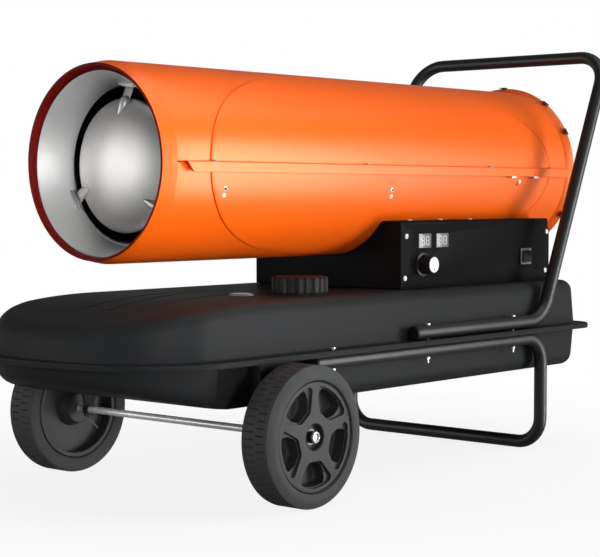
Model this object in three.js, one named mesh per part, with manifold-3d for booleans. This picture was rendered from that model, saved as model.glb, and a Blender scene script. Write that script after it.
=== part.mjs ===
// Forced-air kerosene heater on two wheels. Millimetres, +Z up, outlet towards -Y, control panel towards +X.
// Left and right are as seen when facing the outlet. Heights are above the floor. Lengthwise places are
// measured from the wheel axle, and the whole heater is shifted once at the end.
import * as THREE from 'three';
import { mergeVertices } from 'three/addons/utils/BufferGeometryUtils.js';
import Module from 'manifold-3d';

const wasm = await Module();
wasm.setup();

// Driving dimensions: general
const fit = 0.3;
const sheet = 1.2;
const overrun = 6;
const weld = 1e-4;
const roundSteps = 20;
const fineSteps = 32;
const smallSteps = 12;
const boltSteps = 8;
const chamferShare = 0.8;

// Driving dimensions: wheels and axle
const tyreRadius = 101.5;
const tyreSteps = 48;
const rimSteps = 32;
const tyreWidth = 53;
const tyreShoulder = 9;
const tyreBead = 6;
const rimRadius = 78;
const rimWall = 7;
const rimInset = 3;
const webThickness = 5;
const spokeWidth = 16;
const spokeCount = 5;
const hubRadius = 30;
const hubRecessRadius = 18;
const hubRecessDepth = 14;
const axleRadius = 5.5;
const nutRadius = 9;
const nutLength = 8;
const nutSteps = 12;
const washerRadius = 12;
const washerThickness = 1.5;
const axleEndShare = 0.7;
const bracketSheet = 3;
const bracketTopLength = 80;
const bracketTab = 30;
const bracketEyeRadius = 14;
const bracketGap = 12;

// Driving dimensions: tank
const wheelRoom = 24;
const tankFront = -250;
const tankRear = 815;
const tankBulge = 20;
const tankFrontRadius = 60;
const tankRearRadius = 25;
const tankMargin = 51;
const crownHeight = 78;
const trayDepth = 73;
const tankSheet = 1.5;
const topRounding = 20;
const bottomRounding = 22;
const draft = 4;
const rampStart = -10;
const rampRun = 240;
const rampDrop = 28;
const rampPower = 2.2;
const keelStart = -60;
const keelRun = 200;
const keelRise = 41;
const keelPower = 1.3;
const flangeReach = 34;
const flangeFront = -273;
const flangeRear = 823;
const flangeFrontRadius = 70;
const flangeRearRadius = 45;
const wheelClearance = 7;
const flangeThickness = 3;
const cornerSteps = 3;
const rowShares = [1 / 3, 2 / 3, 1];
const frontShares = [-2 / 3, -1 / 3, 0, 1 / 3, 2 / 3];
const crownShares = [0.25, 0.5, 0.75, 0.95];
const roundingShares = [0, 1 / 3, 2 / 3, 1];
const archHalfLength = 118;
const archDepth = 36;

// Driving dimensions: filler, gauge, drain
const fillerInset = 87;
const fillerY = 153;
const neckRadius = 34;
const neckWall = 2;
const neckHeight = 15;
const neckDepth = 8;
const neckFlange = 5;
const neckFlangeThickness = 1.6;
const strainerDepth = 70;
const strainerTaper = 8;
const capRadius = 43;
const capHeight = 26;
const capTop = 5;
const capWallClearance = 1.2;
const ribCount = 20;
const ribDepth = 1.6;
const gaugeInset = 126;
const gaugeY = 65;
const gaugeRadius = 18.5;
const gaugeHeight = 6;
const gaugeFloor = 2;
const gaugeStemRadius = 8;
const gaugeStemDepth = 28;
const gaugePinRadius = 1.5;
const pointerWidth = 2.4;
const pointerThickness = 0.8;
const floatArmLength = 120;
const floatArmRadius = 1.6;
const floatRadius = 15;
const floatLength = 34;
const floatDrop = 42;
const floatEyeRadius = 4;
const drainInset = 76;
const drainY = 700;
const drainRadius = 10;
const drainNeck = 6;
const drainHead = 6;

// Driving dimensions: tubes
const tubeRadius = 11;
const tubeWall = 1.5;
const tubeSides = 12;
const bendSteps = 4;
const tubeOffset = 13;
const frameFront = 67;
const legSetback = 2;
const legTopBend = 40;
const legFootBend = 52;
const handleRun = 365;
const handleBendY = 673;
const handleSetback = 16;
const handleRise = 203;
const handleLowBend = 65;
const handleTopBend = 50;
const plugHead = 2;
const plugLength = 16;
const frontBoltSetback = 45;
const boltSetbacks = [328, 88];
const boltRadius = 3;
const boltHeadRadius = 6;
const boltHeadHeight = 4;
const boltTail = 6;

// Driving dimensions: shell
const shellRadius = 145;
const shellClearance = 52;
const shellFront = -168;
const lipLength = 15;
const lipInset = 7.5;
const shellRear = 866;
const collarLength = 16;
const collarFlare = 7.6;
const shellSteps = 56;
const seamWidth = 10;
const seamSkirt = 14;
const seamSetback = 35;
const seamSlant = 12;
const seamEnd = 20;
const lowerSeamWidth = 7;

// Driving dimensions: outlet and burner
const coneInset = 22;
const coneLength = 46;
const coneNarrowing = 27;
const coneSkirt = 14;
const coneRim = 10;
const steel = 1;
const flameGap = 20.5;
const domeStep = 6;
const domeDepth = 24;
const domeSkirt = 8;
const domeSteps = 5;
const domeSides = 40;
const finThickness = 2;
const finReach = 31.5;
const finFootWidth = 16;
const finCount = 3;
const chamberWall = 1.5;
const chamberLength = 530;
const burnerPortRadius = 56;
const chamberFootSetbacks = [370, 50];
const footAngles = [-60, -120];
const footWidth = 24;
const headFlange = 64;
const headBody = 30;
const headLength = 40;
const nozzleRadius = 8;
const nozzleTip = 12;
const nozzleBlock = 13;
const nozzleBlockLength = 34;
const sparkRadius = 4;
const sparkPin = 1.2;
const sparkNose = 2;
const sparkCollar = 6;
const sparkLength = 66;
const sparkTip = 22;
const sparkOffset = 20;
const cellRadius = 6;
const cellStep = 2;
const cellLength = 22;
const cellOffset = 20;

// Driving dimensions: fan, motor and pump
const fanClearance = 11;
const fanHub = 28;
const fanGap = 3;
const fanLength = 32;
const bladeCount = 5;
const bladeChord = 62;
const bladeThickness = 2;
const bladePitch = 28;
const bladeRoot = 3;
const bladeShares = [[0.75, -0.5], [0.97, -0.4], [0.985, 0.1], [0.9, 0.4]];
const bladeRootShare = 0.3;
const shaftRadius = 5;
const motorInset = 142;
const motorLength = 82;
const motorRadius = 48;
const motorNose = 10;
const motorNoseRadius = 16;
const motorChamfer = 6;
const saddleSheet = 3;
const bracketInset = 9;
const bracketWeb = 26;
const bracketFootAngle = 34;
const saddleAngle = 60;
const webShare = 0.9;
const pumpRadius = 40;
const pumpLength = 20;
const pumpBore = 27;
const pumpWall = 3;
const rotorRadius = 24;
const pumpCoverLength = 8;
const filterRadius = 26;
const filterLength = 12;
const guardInset = 6;
const guardThickness = 3;
const guardWire = 3;
const guardRingShares = [38 / 145, 70 / 145, 104 / 145];
const guardSpokes = 8;
const guardSides = 28;
const clipAngles = [90, 53, 27, -32, -90, 212, 153, 127];
const clipWidth = 12;
const clipReach = 9;
const clipWire = 1.6;
const airLineRadius = 3;
const linePortRadius = 3.6;
const airLineInset = 6;
const airLineTurn = 560;
const airLineBends = [12, 30, 20];
const airLineStepShare = 0.6;
const airPortDepth = 5;
const lineEntryShare = 0.8;
const lineSides = 8;

// Driving dimensions: control box and panel
const boxFront = 343;
const boxRear = 777;
const boxRise = 57;
const boxSheet = 1.5;
const boxLip = 10;
const panelDrop = 5;
const panelThickness = 1.5;
const panelCorner = 14;
const displaySetbacks = [64, 111.5];
const displayRise = 77;
const displayWidth = 35;
const displayHeight = 25;
const displayDepth = 20;
const displayProud = 1;
const knobSetback = 57;
const knobRise = 39;
const knobSkirtRadius = 22;
const knobSkirtLength = 7;
const knobRadius = 15.5;
const knobLength = 17;
const knobBore = 3;
const knobDraft = 1;
const stemClearance = 1;
const thermostatWidth = 30;
const thermostatDepth = 24;
const thermostatHeight = 26;
const thermostatStem = 15;
const switchInset = 77;
const switchRise = 44;
const switchWidth = 33;
const switchHeight = 29;
const switchFrame = 5;
const switchProud = 2.5;
const switchDepth = 24;
const switchWall = 1.5;
const switchCorner = 3;
const switchWell = 12;
const rockerTilt = 9;
const rockerProud = 3;
const rockerPinRadius = 1.5;
const rockerPinInset = 1;
const rockerGap = 1.2;
const rockerRootWidth = 8;
const rockerRootDepth = 5;
const rockerShoulder = 0.5;
const rockerDraft = 0.6;
const boardSetbacks = [35, 141];
const boardRises = [57, 97];
const boardThickness = 1.6;
const transformerInset = 13;
const transformerWidth = 76;
const transformerSetbacks = [217, 97];
const transformerHeight = 50;
const glandInset = 55;
const glandRise = 37;
const glandRadius = 8;
const glandNut = 12;
const glandLength = 22;
const glandNutLength = 6;
const lineHole = 3.8;
const pickupRadius = 11;
const pickupLength = 24;
const pickupClearance = 6;

// Heights and places that follow
const axleZ = tyreRadius * Math.cos(Math.PI / tyreSteps);
const tankHalfWidth = shellRadius + tankMargin;
const trackInner = tankHalfWidth + wheelRoom;
const trackOuter = trackInner + tyreWidth;
const flangeHalfWidth = tankHalfWidth + flangeReach;
const archInner = tankHalfWidth - archDepth;
const tubeX = tankHalfWidth + tubeOffset;
const fillerX = tankHalfWidth - fillerInset;
const gaugeX = tankHalfWidth - gaugeInset;
const drainX = tankHalfWidth - drainInset;
const flangeMiddle = 2 * tyreRadius + wheelClearance;
const tankTop = flangeMiddle + crownHeight;
const tankBottom = flangeMiddle - trayDepth;
const shellBottom = tankTop + shellClearance;
const flangeTop = flangeMiddle + flangeThickness;
const flangeBottom = flangeMiddle - flangeThickness;
const handleRunZ = flangeTop + fit + tubeRadius;
const frameRunZ = flangeBottom - fit - tubeRadius;
const shellAxisZ = shellBottom + shellRadius;
const shellInner = shellRadius - sheet;
const lipRadius = shellRadius - lipInset;
const collarRadius = shellRadius + collarFlare;
const seamFront = shellFront + seamSetback;
const seamRear = shellRear - seamEnd;
const handleTopY = shellRear + handleSetback;
const handleTopZ = shellAxisZ + handleRise;
const handleFront = handleBendY - handleRun;
const legY = handleBendY - legSetback;
const boltRows = [frameFront + frontBoltSetback, ...boltSetbacks.map((setback) => handleBendY - setback)];
const coneFront = shellFront + coneInset;
const coneRear = coneFront + coneLength;
const coneRearRadius = shellRadius - coneNarrowing;
const domeRadius = coneRearRadius - flameGap;
const domeRim = coneRear - domeStep;
const domeApex = domeRim - domeDepth;
const finInnerRadius = domeRadius - finReach;
const coneRimRadius = shellInner - fit;
const chamberRadius = coneRearRadius - steel / 2 - fit;
const chamberFront = coneRear + fit;
const chamberRear = coneRear + chamberLength;
const chamberFeet = chamberFootSetbacks.map((setback) => chamberRear - setback);
const fanRadius = shellRadius - fanClearance;
const motorFront = shellRear - motorInset;
const guardY = shellRear - guardInset;
const guardRings = guardRingShares.map((share) => share * shellRadius);
const airLineX = shellRadius - airLineInset;
const fanFront = motorFront - motorNose - fanGap - fanLength;
const nozzleFront = chamberRear - nozzleTip;
const nozzleRear = chamberRear + headLength + nozzleBlockLength;
const nozzleBlockFront = nozzleRear - nozzleBlockLength + fit;
const pumpFront = motorFront + motorLength + fit;
const pumpRear = pumpFront + pumpLength;
const filterRear = pumpRear + fit + pumpCoverLength + filterLength;
const boxHalfWidth = shellRadius + seamWidth;
const boxBottom = tankTop + fit;
const boxTop = shellBottom + boxRise;
const panelTop = boxTop - panelDrop;
const panelX = boxHalfWidth + fit;
const transformerX = [transformerInset - boxHalfWidth, transformerInset + transformerWidth - boxHalfWidth];
const transformerY = transformerSetbacks.map((setback) => boxRear - setback);
const glandX = glandInset - boxHalfWidth;
const glandZ = tankTop + glandRise;
const displayY = displaySetbacks.map((setback) => boxFront + setback);
const displayZ = tankTop + displayRise;
const boardY = boardSetbacks.map((setback) => boxFront + setback);
const boardZ = boardRises.map((rise) => tankTop + rise);
const knobY = boxFront + knobSetback;
const knobZ = tankTop + knobRise;
const switchY = boxRear - switchInset;
const switchZ = tankTop + switchRise;
const lineY = (nozzleBlockFront + nozzleRear) / 2;

// Shared helpers
const degrees = THREE.MathUtils.degToRad;

// A closed solid from a geometry whose shared vertices are merged and whose flat triangles are dropped.
function solid(geometry) {
  const bare = geometry.index ? geometry.toNonIndexed() : geometry.clone();
  for (const name of Object.keys(bare.attributes)) {
    if (name !== 'position') bare.deleteAttribute(name);
  }
  const merged = mergeVertices(bare, weld);
  const kept = [];
  for (let i = 0; i < merged.index.count; i += 3) {
    const [a, b, c] = [0, 1, 2].map((k) => merged.index.getX(i + k));
    if (a !== b && b !== c && c !== a) kept.push(a, b, c);
  }
  const vertProperties = new Float32Array(merged.attributes.position.array);
  return new wasm.Manifold(new wasm.Mesh({ numProp: 3, vertProperties, triVerts: new Uint32Array(kept) }));
}

function geometryOf(body) {
  const { vertProperties, triVerts } = body.getMesh();
  const geometry = new THREE.BufferGeometry();
  geometry.setAttribute('position', new THREE.BufferAttribute(new Float32Array(vertProperties), 3));
  geometry.setIndex(new THREE.BufferAttribute(new Uint32Array(triVerts), 1));
  geometry.computeVertexNormals();
  return geometry;
}

function joined(bodies) {
  return bodies.reduce((whole, body) => whole.add(body));
}

function cut(body, tools) {
  return tools.reduce((rest, tool) => rest.subtract(tool), body);
}

// Turns a shape made along +Y (lathes, cylinders) towards the named axis.
function towards(geometry, axis) {
  if (axis === 'x') geometry.rotateZ(-Math.PI / 2);
  if (axis === 'z') geometry.rotateX(Math.PI / 2);
  return geometry;
}

function block(x0, x1, y0, y1, z0, z1) {
  const geometry = new THREE.BoxGeometry(x1 - x0, y1 - y0, z1 - z0);
  return solid(geometry.translate((x0 + x1) / 2, (y0 + y1) / 2, (z0 + z1) / 2));
}

// A solid of revolution. The profile lists [radius, place along the axis] and may touch the axis.
function turned(axis, profile, centre = [0, 0, 0], steps = roundSteps, phase = 0) {
  const points = profile.map(([radius, along]) => new THREE.Vector2(Math.max(radius, 0), along));
  if (THREE.ShapeUtils.area(points) < 0) points.reverse();
  const first = points.findIndex((p, i) => p.x === 0 && points.at(i - 1).x === 0);
  const ordered = first < 0 ? points : [...points.slice(first), ...points.slice(0, first)];
  if (first < 0) ordered.push(ordered[0].clone());
  const geometry = towards(new THREE.LatheGeometry(ordered, steps, phase), axis);
  return solid(geometry.translate(...centre));
}

function rod(axis, radius, from, to, centre = [0, 0, 0], steps = roundSteps) {
  return turned(axis, [[0, from], [radius, from], [radius, to], [0, to]], centre, steps);
}

function ring(axis, inner, outer, from, to, centre = [0, 0, 0], steps = roundSteps) {
  return turned(axis, [[inner, from], [outer, from], [outer, to], [inner, to]], centre, steps);
}

// The closed profile of a bent sheet that follows the given points.
function sheetProfile(points, thickness) {
  const path = points.map(([radius, along]) => new THREE.Vector2(radius, along));
  const sides = [1, -1].map((side) => path.map((point, i) => {
    const before = i > 0 ? point.clone().sub(path[i - 1]).normalize() : null;
    const after = i < path.length - 1 ? path[i + 1].clone().sub(point).normalize() : null;
    const along = (before ?? after).clone().add(after ?? before).normalize();
    const normal = new THREE.Vector2(along.y, -along.x);
    const lean = before && after ? along.dot(before) : 1;
    const moved = point.clone().addScaledVector(normal, side * thickness / 2 / lean);
    return [point.x === 0 ? 0 : moved.x, moved.y];
  }));
  return [...sides[0], ...sides[1].reverse()];
}

// A flat plate drawn in the plane across the named axis: (y, z) for x, (x, z) for y and (x, y) for z.
function plate(axis, shape, from, to, curveSteps = 6) {
  const settings = { depth: to - from, bevelEnabled: false, curveSegments: curveSteps };
  const geometry = new THREE.ExtrudeGeometry(shape, settings);
  const [x, y, z] = [new THREE.Vector3(1, 0, 0), new THREE.Vector3(0, 1, 0), new THREE.Vector3(0, 0, 1)];
  const bases = { x: [y, z, x], y: [x, z, y.clone().negate()], z: [x, y, z] };
  const start = { x: [from, 0, 0], y: [0, to, 0], z: [0, 0, from] };
  geometry.applyMatrix4(new THREE.Matrix4().makeBasis(...bases[axis]));
  return solid(geometry.translate(...start[axis]));
}

function shapeOf(points) {
  return new THREE.Shape(points.map(([u, v]) => new THREE.Vector2(u, v)));
}

// A rectangle with its centre, size and corner radius, with the wanted corners rounded.
function roundedRectangle(u, v, width, height, radius, corners = [true, true, true, true]) {
  const shape = new THREE.Shape();
  const [left, right, low, high] = [u - width / 2, u + width / 2, v - height / 2, v + height / 2];
  const r = corners.map((isRound) => (isRound ? radius : 0));
  shape.moveTo(left + r[0], low);
  shape.lineTo(right - r[1], low);
  if (r[1]) shape.absarc(right - r[1], low + r[1], r[1], -Math.PI / 2, 0, false);
  shape.lineTo(right, high - r[2]);
  if (r[2]) shape.absarc(right - r[2], high - r[2], r[2], 0, Math.PI / 2, false);
  shape.lineTo(left + r[3], high);
  if (r[3]) shape.absarc(left + r[3], high - r[3], r[3], Math.PI / 2, Math.PI, false);
  shape.lineTo(left, low + r[0]);
  if (r[0]) shape.absarc(left + r[0], low + r[0], r[0], Math.PI, Math.PI * 1.5, false);
  return shape;
}

// A path whose points are given: straight runs with rounded corners.
class BentRoute extends THREE.Curve {
  constructor(corners, radii, steps = bendSteps) {
    super();
    this.stops = [corners[0]];
    for (let i = 1; i < corners.length - 1; i += 1) {
      const into = corners[i].clone().sub(corners[i - 1]).normalize();
      const away = corners[i + 1].clone().sub(corners[i]).normalize();
      const turn = into.angleTo(away);
      const reach = radii[i - 1] * Math.tan(turn / 2);
      const side = away.clone().addScaledVector(into, -away.dot(into)).normalize();
      const start = corners[i].clone().addScaledVector(into, -reach);
      for (let k = 0; k <= steps; k += 1) {
        const angle = turn * k / steps;
        const ahead = radii[i - 1] * Math.sin(angle);
        const across = radii[i - 1] * (1 - Math.cos(angle));
        this.stops.push(start.clone().addScaledVector(into, ahead).addScaledVector(side, across));
      }
    }
    this.stops.push(corners.at(-1));
  }

  getPoint(t) {
    return this.stops[Math.round(t * (this.stops.length - 1))].clone();
  }

  getPointAt(u) {
    return this.getPoint(u);
  }

  getSpacedPoints() {
    return this.stops.map((stop) => stop.clone());
  }

  getTangentAt(u) {
    const i = Math.round(u * (this.stops.length - 1));
    const before = this.stops[Math.max(i - 1, 0)];
    const after = this.stops[Math.min(i + 1, this.stops.length - 1)];
    const into = this.stops[i].clone().sub(before).normalize();
    const away = after.clone().sub(this.stops[i]).normalize();
    return into.add(away).normalize();
  }
}

// A tube along a route. Its sides are flats that touch the true radius.
function tube(route, radius, wall, sides) {
  const outer = radius / Math.cos(Math.PI / sides);
  const corner = (k, r) => {
    const angle = 2 * Math.PI * (k + 1 / 2) / sides;
    return new THREE.Vector2(r * Math.cos(angle), r * Math.sin(angle));
  };
  const around = Array.from({ length: sides }, (_, k) => k);
  const section = new THREE.Shape(around.map((k) => corner(k, outer)));
  if (wall) section.holes.push(new THREE.Path(around.map((k) => corner(k, outer - wall))));
  const settings = { steps: route.stops.length - 1, extrudePath: route, bevelEnabled: false };
  return solid(new THREE.ExtrudeGeometry(section, settings));
}

function colour(hex, roughness, metalness) {
  return new THREE.MeshStandardMaterial({ color: hex, roughness, metalness });
}

const finish = {
  orange: colour(0xf2590c, 0.28, 0.1),
  black: colour(0x1a1b1c, 0.42, 0.15),
  tankBlack: colour(0x1d1e1f, 0.45, 0.1),
  plastic: colour(0x141414, 0.5, 0),
  rubber: colour(0x232323, 0.8, 0),
  rim: colour(0x2c2c2d, 0.6, 0),
  zinc: colour(0xc9ccce, 0.3, 0.9),
  stainless: colour(0xb9bcbd, 0.32, 0.95),
  heated: colour(0x8d8a86, 0.5, 0.8),
  white: colour(0xf3f3f0, 0.4, 0),
  ceramic: colour(0xe9e4da, 0.35, 0),
  brass: colour(0xb8923f, 0.35, 0.85),
  copper: colour(0xb87445, 0.35, 0.85),
  aluminium: colour(0xa9adb0, 0.45, 0.8),
  board: colour(0x1f5a35, 0.5, 0),
  grey: colour(0x8e9193, 0.35, 0),
};

const heater = new THREE.Group();
heater.name = 'kerosene_heater';

function place(name, body, material, position = [0, 0, 0], parent = heater) {
  const mesh = new THREE.Mesh(geometryOf(body), material);
  mesh.name = name;
  mesh.position.set(...position);
  parent.add(mesh);
  return mesh;
}

// Tank outline, seen from above. The front bulges forward in the middle.
function tankOutline(half, front, rear, frontRadius, rearRadius, bulge) {
  const points = [];
  const least = tankSheet;
  const radii = { front: Math.max(frontRadius, least), rear: Math.max(rearRadius, least) };
  const rowStart = front + radii.front;
  const rowEnd = Math.max(rampStart, rowStart + least);
  const corners = [
    [half - radii.front, front + radii.front, radii.front, -1],
    [half - radii.rear, rear - radii.rear, radii.rear, 0],
    [radii.rear - half, rear - radii.rear, radii.rear, 1],
    [radii.front - half, front + radii.front, radii.front, 2],
  ];
  for (const [x, y, radius, quarter] of corners) {
    for (let k = 0; k <= cornerSteps; k += 1) {
      const angle = (quarter + k / cornerSteps) * Math.PI / 2;
      points.push([x + radius * Math.cos(angle), y + radius * Math.sin(angle)]);
    }
    const side = quarter < 0 ? half : -half;
    const rows = rowShares.map((share) => [side, rowStart + (rowEnd - rowStart) * share]);
    if (quarter < 0) points.push(...rows);
    if (quarter === 1) points.push(...rows.reverse());
  }
  for (const share of frontShares) points.push([share * (half - radii.front), front]);
  const middle = (front + rear) / 2;
  return points.map(([x, y]) => {
    const share = Math.max(middle - y, 0) / (middle - front);
    return [x, y - bulge * (1 - (x / half) ** 2) * share];
  });
}

// A solid whose outline rises through a list of levels: each has an inset and a height that may follow y.
function lofted(levels, grow) {
  const rings = levels.map(({ inset, height }) => {
    const d = inset - grow;
    const outline = tankOutline(tankHalfWidth - d, tankFront + d, tankRear - d,
      tankFrontRadius - d, tankRearRadius - d, tankBulge);
    return outline.map(([x, y]) => new THREE.Vector3(x, y, height(y)));
  });
  const count = rings[0].length;
  const positions = rings.flat().flatMap((p) => [p.x, p.y, p.z]);
  const index = [];
  for (let level = 0; level < rings.length - 1; level += 1) {
    for (let i = 0; i < count; i += 1) {
      const [a, b] = [level * count + i, level * count + (i + 1) % count];
      index.push(a, b, b + count, a, b + count, a + count);
    }
  }
  const seenFromAbove = (points) => points.map((p) => new THREE.Vector2(p.x, p.y));
  const flat = (points) => THREE.ShapeUtils.triangulateShape(seenFromAbove(points), []);
  for (const [a, b, c] of flat(rings[0])) index.push(c, b, a);
  const top = (rings.length - 1) * count;
  for (const [a, b, c] of flat(rings.at(-1))) index.push(top + a, top + b, top + c);
  const geometry = new THREE.BufferGeometry();
  geometry.setAttribute('position', new THREE.Float32BufferAttribute(positions, 3));
  geometry.setIndex(index);
  return solid(geometry);
}

function topHeight(y) {
  return tankTop - rampDrop * (Math.max(rampStart - y, 0) / rampRun) ** rampPower;
}

function keelHeight(y) {
  return tankBottom + keelRise * (Math.max(keelStart - y, 0) / keelRun) ** keelPower;
}

function upperLevels(skin, base) {
  const levels = [{ inset: 0, height: () => base }];
  for (const share of roundingShares) {
    const angle = share * Math.PI / 2;
    const inset = draft + topRounding * (1 - Math.cos(angle));
    const drop = topRounding * (1 - Math.sin(angle)) + skin;
    levels.push({ inset, height: (y) => topHeight(y) - drop });
  }
  const edge = draft + topRounding;
  for (const share of crownShares) {
    levels.push({ inset: edge + (tankHalfWidth - edge) * share, height: (y) => topHeight(y) - skin });
  }
  return levels;
}

function lowerLevels(skin, base) {
  const levels = [{ inset: 0, height: () => base }];
  for (const share of roundingShares) {
    const angle = share * Math.PI / 2;
    const inset = draft + bottomRounding * (1 - Math.cos(angle));
    const rise = bottomRounding * (1 - Math.sin(angle)) + skin;
    levels.push({ inset, height: (y) => keelHeight(y) + rise });
  }
  const edge = draft + bottomRounding;
  for (const share of crownShares) {
    levels.push({ inset: edge + (tankHalfWidth - edge) * share, height: (y) => keelHeight(y) + skin });
  }
  return levels.reverse();
}

function flangePlate(from, to) {
  const outline = tankOutline(flangeHalfWidth, flangeFront, flangeRear,
    flangeFrontRadius, flangeRearRadius, tankBulge);
  return plate('z', shapeOf(outline), from, to);
}

function boltHoles(radius) {
  return [-1, 1].flatMap((side) => boltRows.map((y) =>
    rod('z', radius, flangeBottom - overrun, flangeTop + overrun, [side * tubeX, y, 0], boltSteps)));
}

// Upper tank half: a pressed cover, open below, with holes for the filler, the gauge and the fuel line.
const upperBase = flangeMiddle + fit / 2;
const upperBody = joined([lofted(upperLevels(0, upperBase), 0), flangePlate(upperBase, flangeTop)]);
place('tank_upper', cut(upperBody, [
  lofted(upperLevels(tankSheet, upperBase - overrun), -tankSheet),
  rod('z', neckRadius + fit, upperBase, tankTop + overrun, [fillerX, fillerY, 0]),
  rod('z', gaugeStemRadius + fit, upperBase, tankTop + overrun, [gaugeX, gaugeY, 0]),
  rod('z', lineHole, upperBase, tankTop + overrun, [0, lineY, 0], smallSteps),
  ...boltHoles(boltRadius + fit),
]), finish.tankBlack);

// Lower tank half: a pressed tray with a recess for each wheel and a drain hole.
const lowerBase = flangeMiddle - fit / 2;
function arches(grow) {
  return [-1, 1].map((side) => {
    const ends = [side * (archInner - grow), side * (tankHalfWidth + overrun)].sort((a, b) => a - b);
    const reach = archHalfLength + grow;
    return block(...ends, -reach, reach, tankBottom - overrun, flangeTop + overrun);
  });
}
const trayOuter = cut(lofted(lowerLevels(0, lowerBase), 0), arches(0));
const trayBody = joined([trayOuter, flangePlate(flangeBottom, lowerBase)]);
const trayHollow = cut(lofted(lowerLevels(tankSheet, lowerBase + overrun), -tankSheet), arches(tankSheet));
place('tank_lower', cut(trayBody, [
  trayHollow,
  rod('z', drainNeck + fit, tankBottom - overrun, tankBottom + overrun, [drainX, drainY, 0]),
  ...boltHoles(boltRadius + fit),
]), finish.tankBlack);

// Drain plug: a hexagon head under the tray and a neck through it.
const plugTop = tankBottom + tankSheet + drainHead;
place('drain_plug', joined([
  rod('z', drainRadius, tankBottom - fit - drainHead, tankBottom - fit, [drainX, drainY, 0], 6),
  rod('z', drainNeck, tankBottom - drainHead, plugTop, [drainX, drainY, 0]),
]), finish.zinc);

// Filler neck: a flanged collar through the tank top, with a strainer basket hung in it.
const neckTop = tankTop + fit + neckHeight;
place('filler_neck', turned('z', [
  [neckRadius - neckWall, tankTop - neckDepth],
  [neckRadius, tankTop - neckDepth],
  [neckRadius, tankTop + fit],
  [neckRadius + neckFlange, tankTop + fit],
  [neckRadius + neckFlange, tankTop + fit + neckFlangeThickness],
  [neckRadius, tankTop + fit + neckFlangeThickness],
  [neckRadius, neckTop],
  [neckRadius - neckWall, neckTop],
], [fillerX, fillerY, 0]), finish.black);

const basketRadius = neckRadius - neckWall - fit;
place('filler_strainer', turned('z', sheetProfile([
  [0, neckTop - strainerDepth],
  [basketRadius - strainerTaper, neckTop - strainerDepth],
  [basketRadius - steel / 2, neckTop + fit + steel / 2],
  [basketRadius + neckWall, neckTop + fit + steel / 2],
], steel), [fillerX, fillerY, 0]), finish.brass);

// Fuel cap: a ribbed cup over the neck.
const capBase = tankTop + fit + neckFlangeThickness + fit;
const capCeiling = neckTop + fit + steel + fit;
const capInner = neckRadius + capWallClearance;
const capBody = turned('z', [
  [capInner, capBase],
  [capRadius - ribDepth, capBase],
  [capRadius - ribDepth, capBase + capHeight - ribDepth],
  [capRadius - 2 * ribDepth, capBase + capHeight],
  [0, capBase + capHeight],
  [0, capCeiling],
  [capInner, capCeiling],
]);
const capRibs = Array.from({ length: ribCount }, (_, k) => {
  const angle = 2 * Math.PI * k / ribCount;
  const width = Math.PI * capRadius / ribCount;
  const rib = new THREE.BoxGeometry(2 * ribDepth, width, capHeight - capTop);
  rib.translate(capRadius - ribDepth, 0, capBase + (capHeight - capTop) / 2).rotateZ(angle);
  return solid(rib);
});
place('fuel_cap', joined([capBody, ...capRibs]), finish.plastic, [fillerX, fillerY, 0]);

// Fuel gauge: a dial cup on the tank, a pointer on its pin, and a float arm below.
const gaugeBase = tankTop + fit;
const dialFloor = gaugeBase + gaugeFloor;
const pivotZ = tankTop - gaugeStemDepth;
const forkGap = floatArmRadius + fit;
const stem = turned('z', [
  [0, pivotZ - floatEyeRadius],
  [gaugeStemRadius, pivotZ - floatEyeRadius],
  [gaugeStemRadius, gaugeBase],
  [gaugeRadius, gaugeBase],
  [gaugeRadius, gaugeBase + gaugeHeight],
  [gaugeRadius - sheet, gaugeBase + gaugeHeight],
  [gaugeRadius - sheet, dialFloor],
  [gaugePinRadius, dialFloor],
  [gaugePinRadius, dialFloor + 2 * pointerThickness + fit],
  [0, dialFloor + 2 * pointerThickness + fit],
]);
const forkSlot = block(-forkGap, forkGap, -overrun - gaugeStemRadius, overrun + gaugeStemRadius,
  pivotZ - overrun, pivotZ + floatEyeRadius + fit);
const forkPin = rod('x', gaugePinRadius, -forkGap - sheet, forkGap + sheet, [0, 0, pivotZ], smallSteps);
place('gauge_body', stem.subtract(forkSlot).add(forkPin), finish.grey, [gaugeX, gaugeY, 0]);

const pointerZ = dialFloor + fit;
const pointerReach = gaugeRadius - sheet - 2 * fit;
place('gauge_pointer', joined([
  ring('z', gaugePinRadius + fit, gaugePinRadius + pointerWidth, pointerZ, pointerZ + pointerThickness),
  block(gaugePinRadius + pointerWidth / 2, pointerReach, -pointerWidth / 2, pointerWidth / 2,
    pointerZ, pointerZ + pointerThickness),
]), finish.white, [gaugeX, gaugeY, 0]);

const floatGroup = new THREE.Group();
floatGroup.position.set(gaugeX, gaugeY, pivotZ);
floatGroup.rotation.x = -degrees(floatDrop);
heater.add(floatGroup);
const eyeInner = gaugePinRadius + fit;
place('gauge_float', joined([
  ring('x', eyeInner, floatEyeRadius - fit, -floatArmRadius, floatArmRadius, [0, 0, 0], smallSteps),
  block(-floatArmRadius, floatArmRadius, eyeInner + fit, floatArmLength,
    -floatArmRadius / 2, floatArmRadius / 2),
  rod('x', floatRadius, -floatLength / 2, floatLength / 2, [0, floatArmLength, 0], smallSteps),
]), finish.grey, [0, 0, 0], floatGroup);

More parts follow.
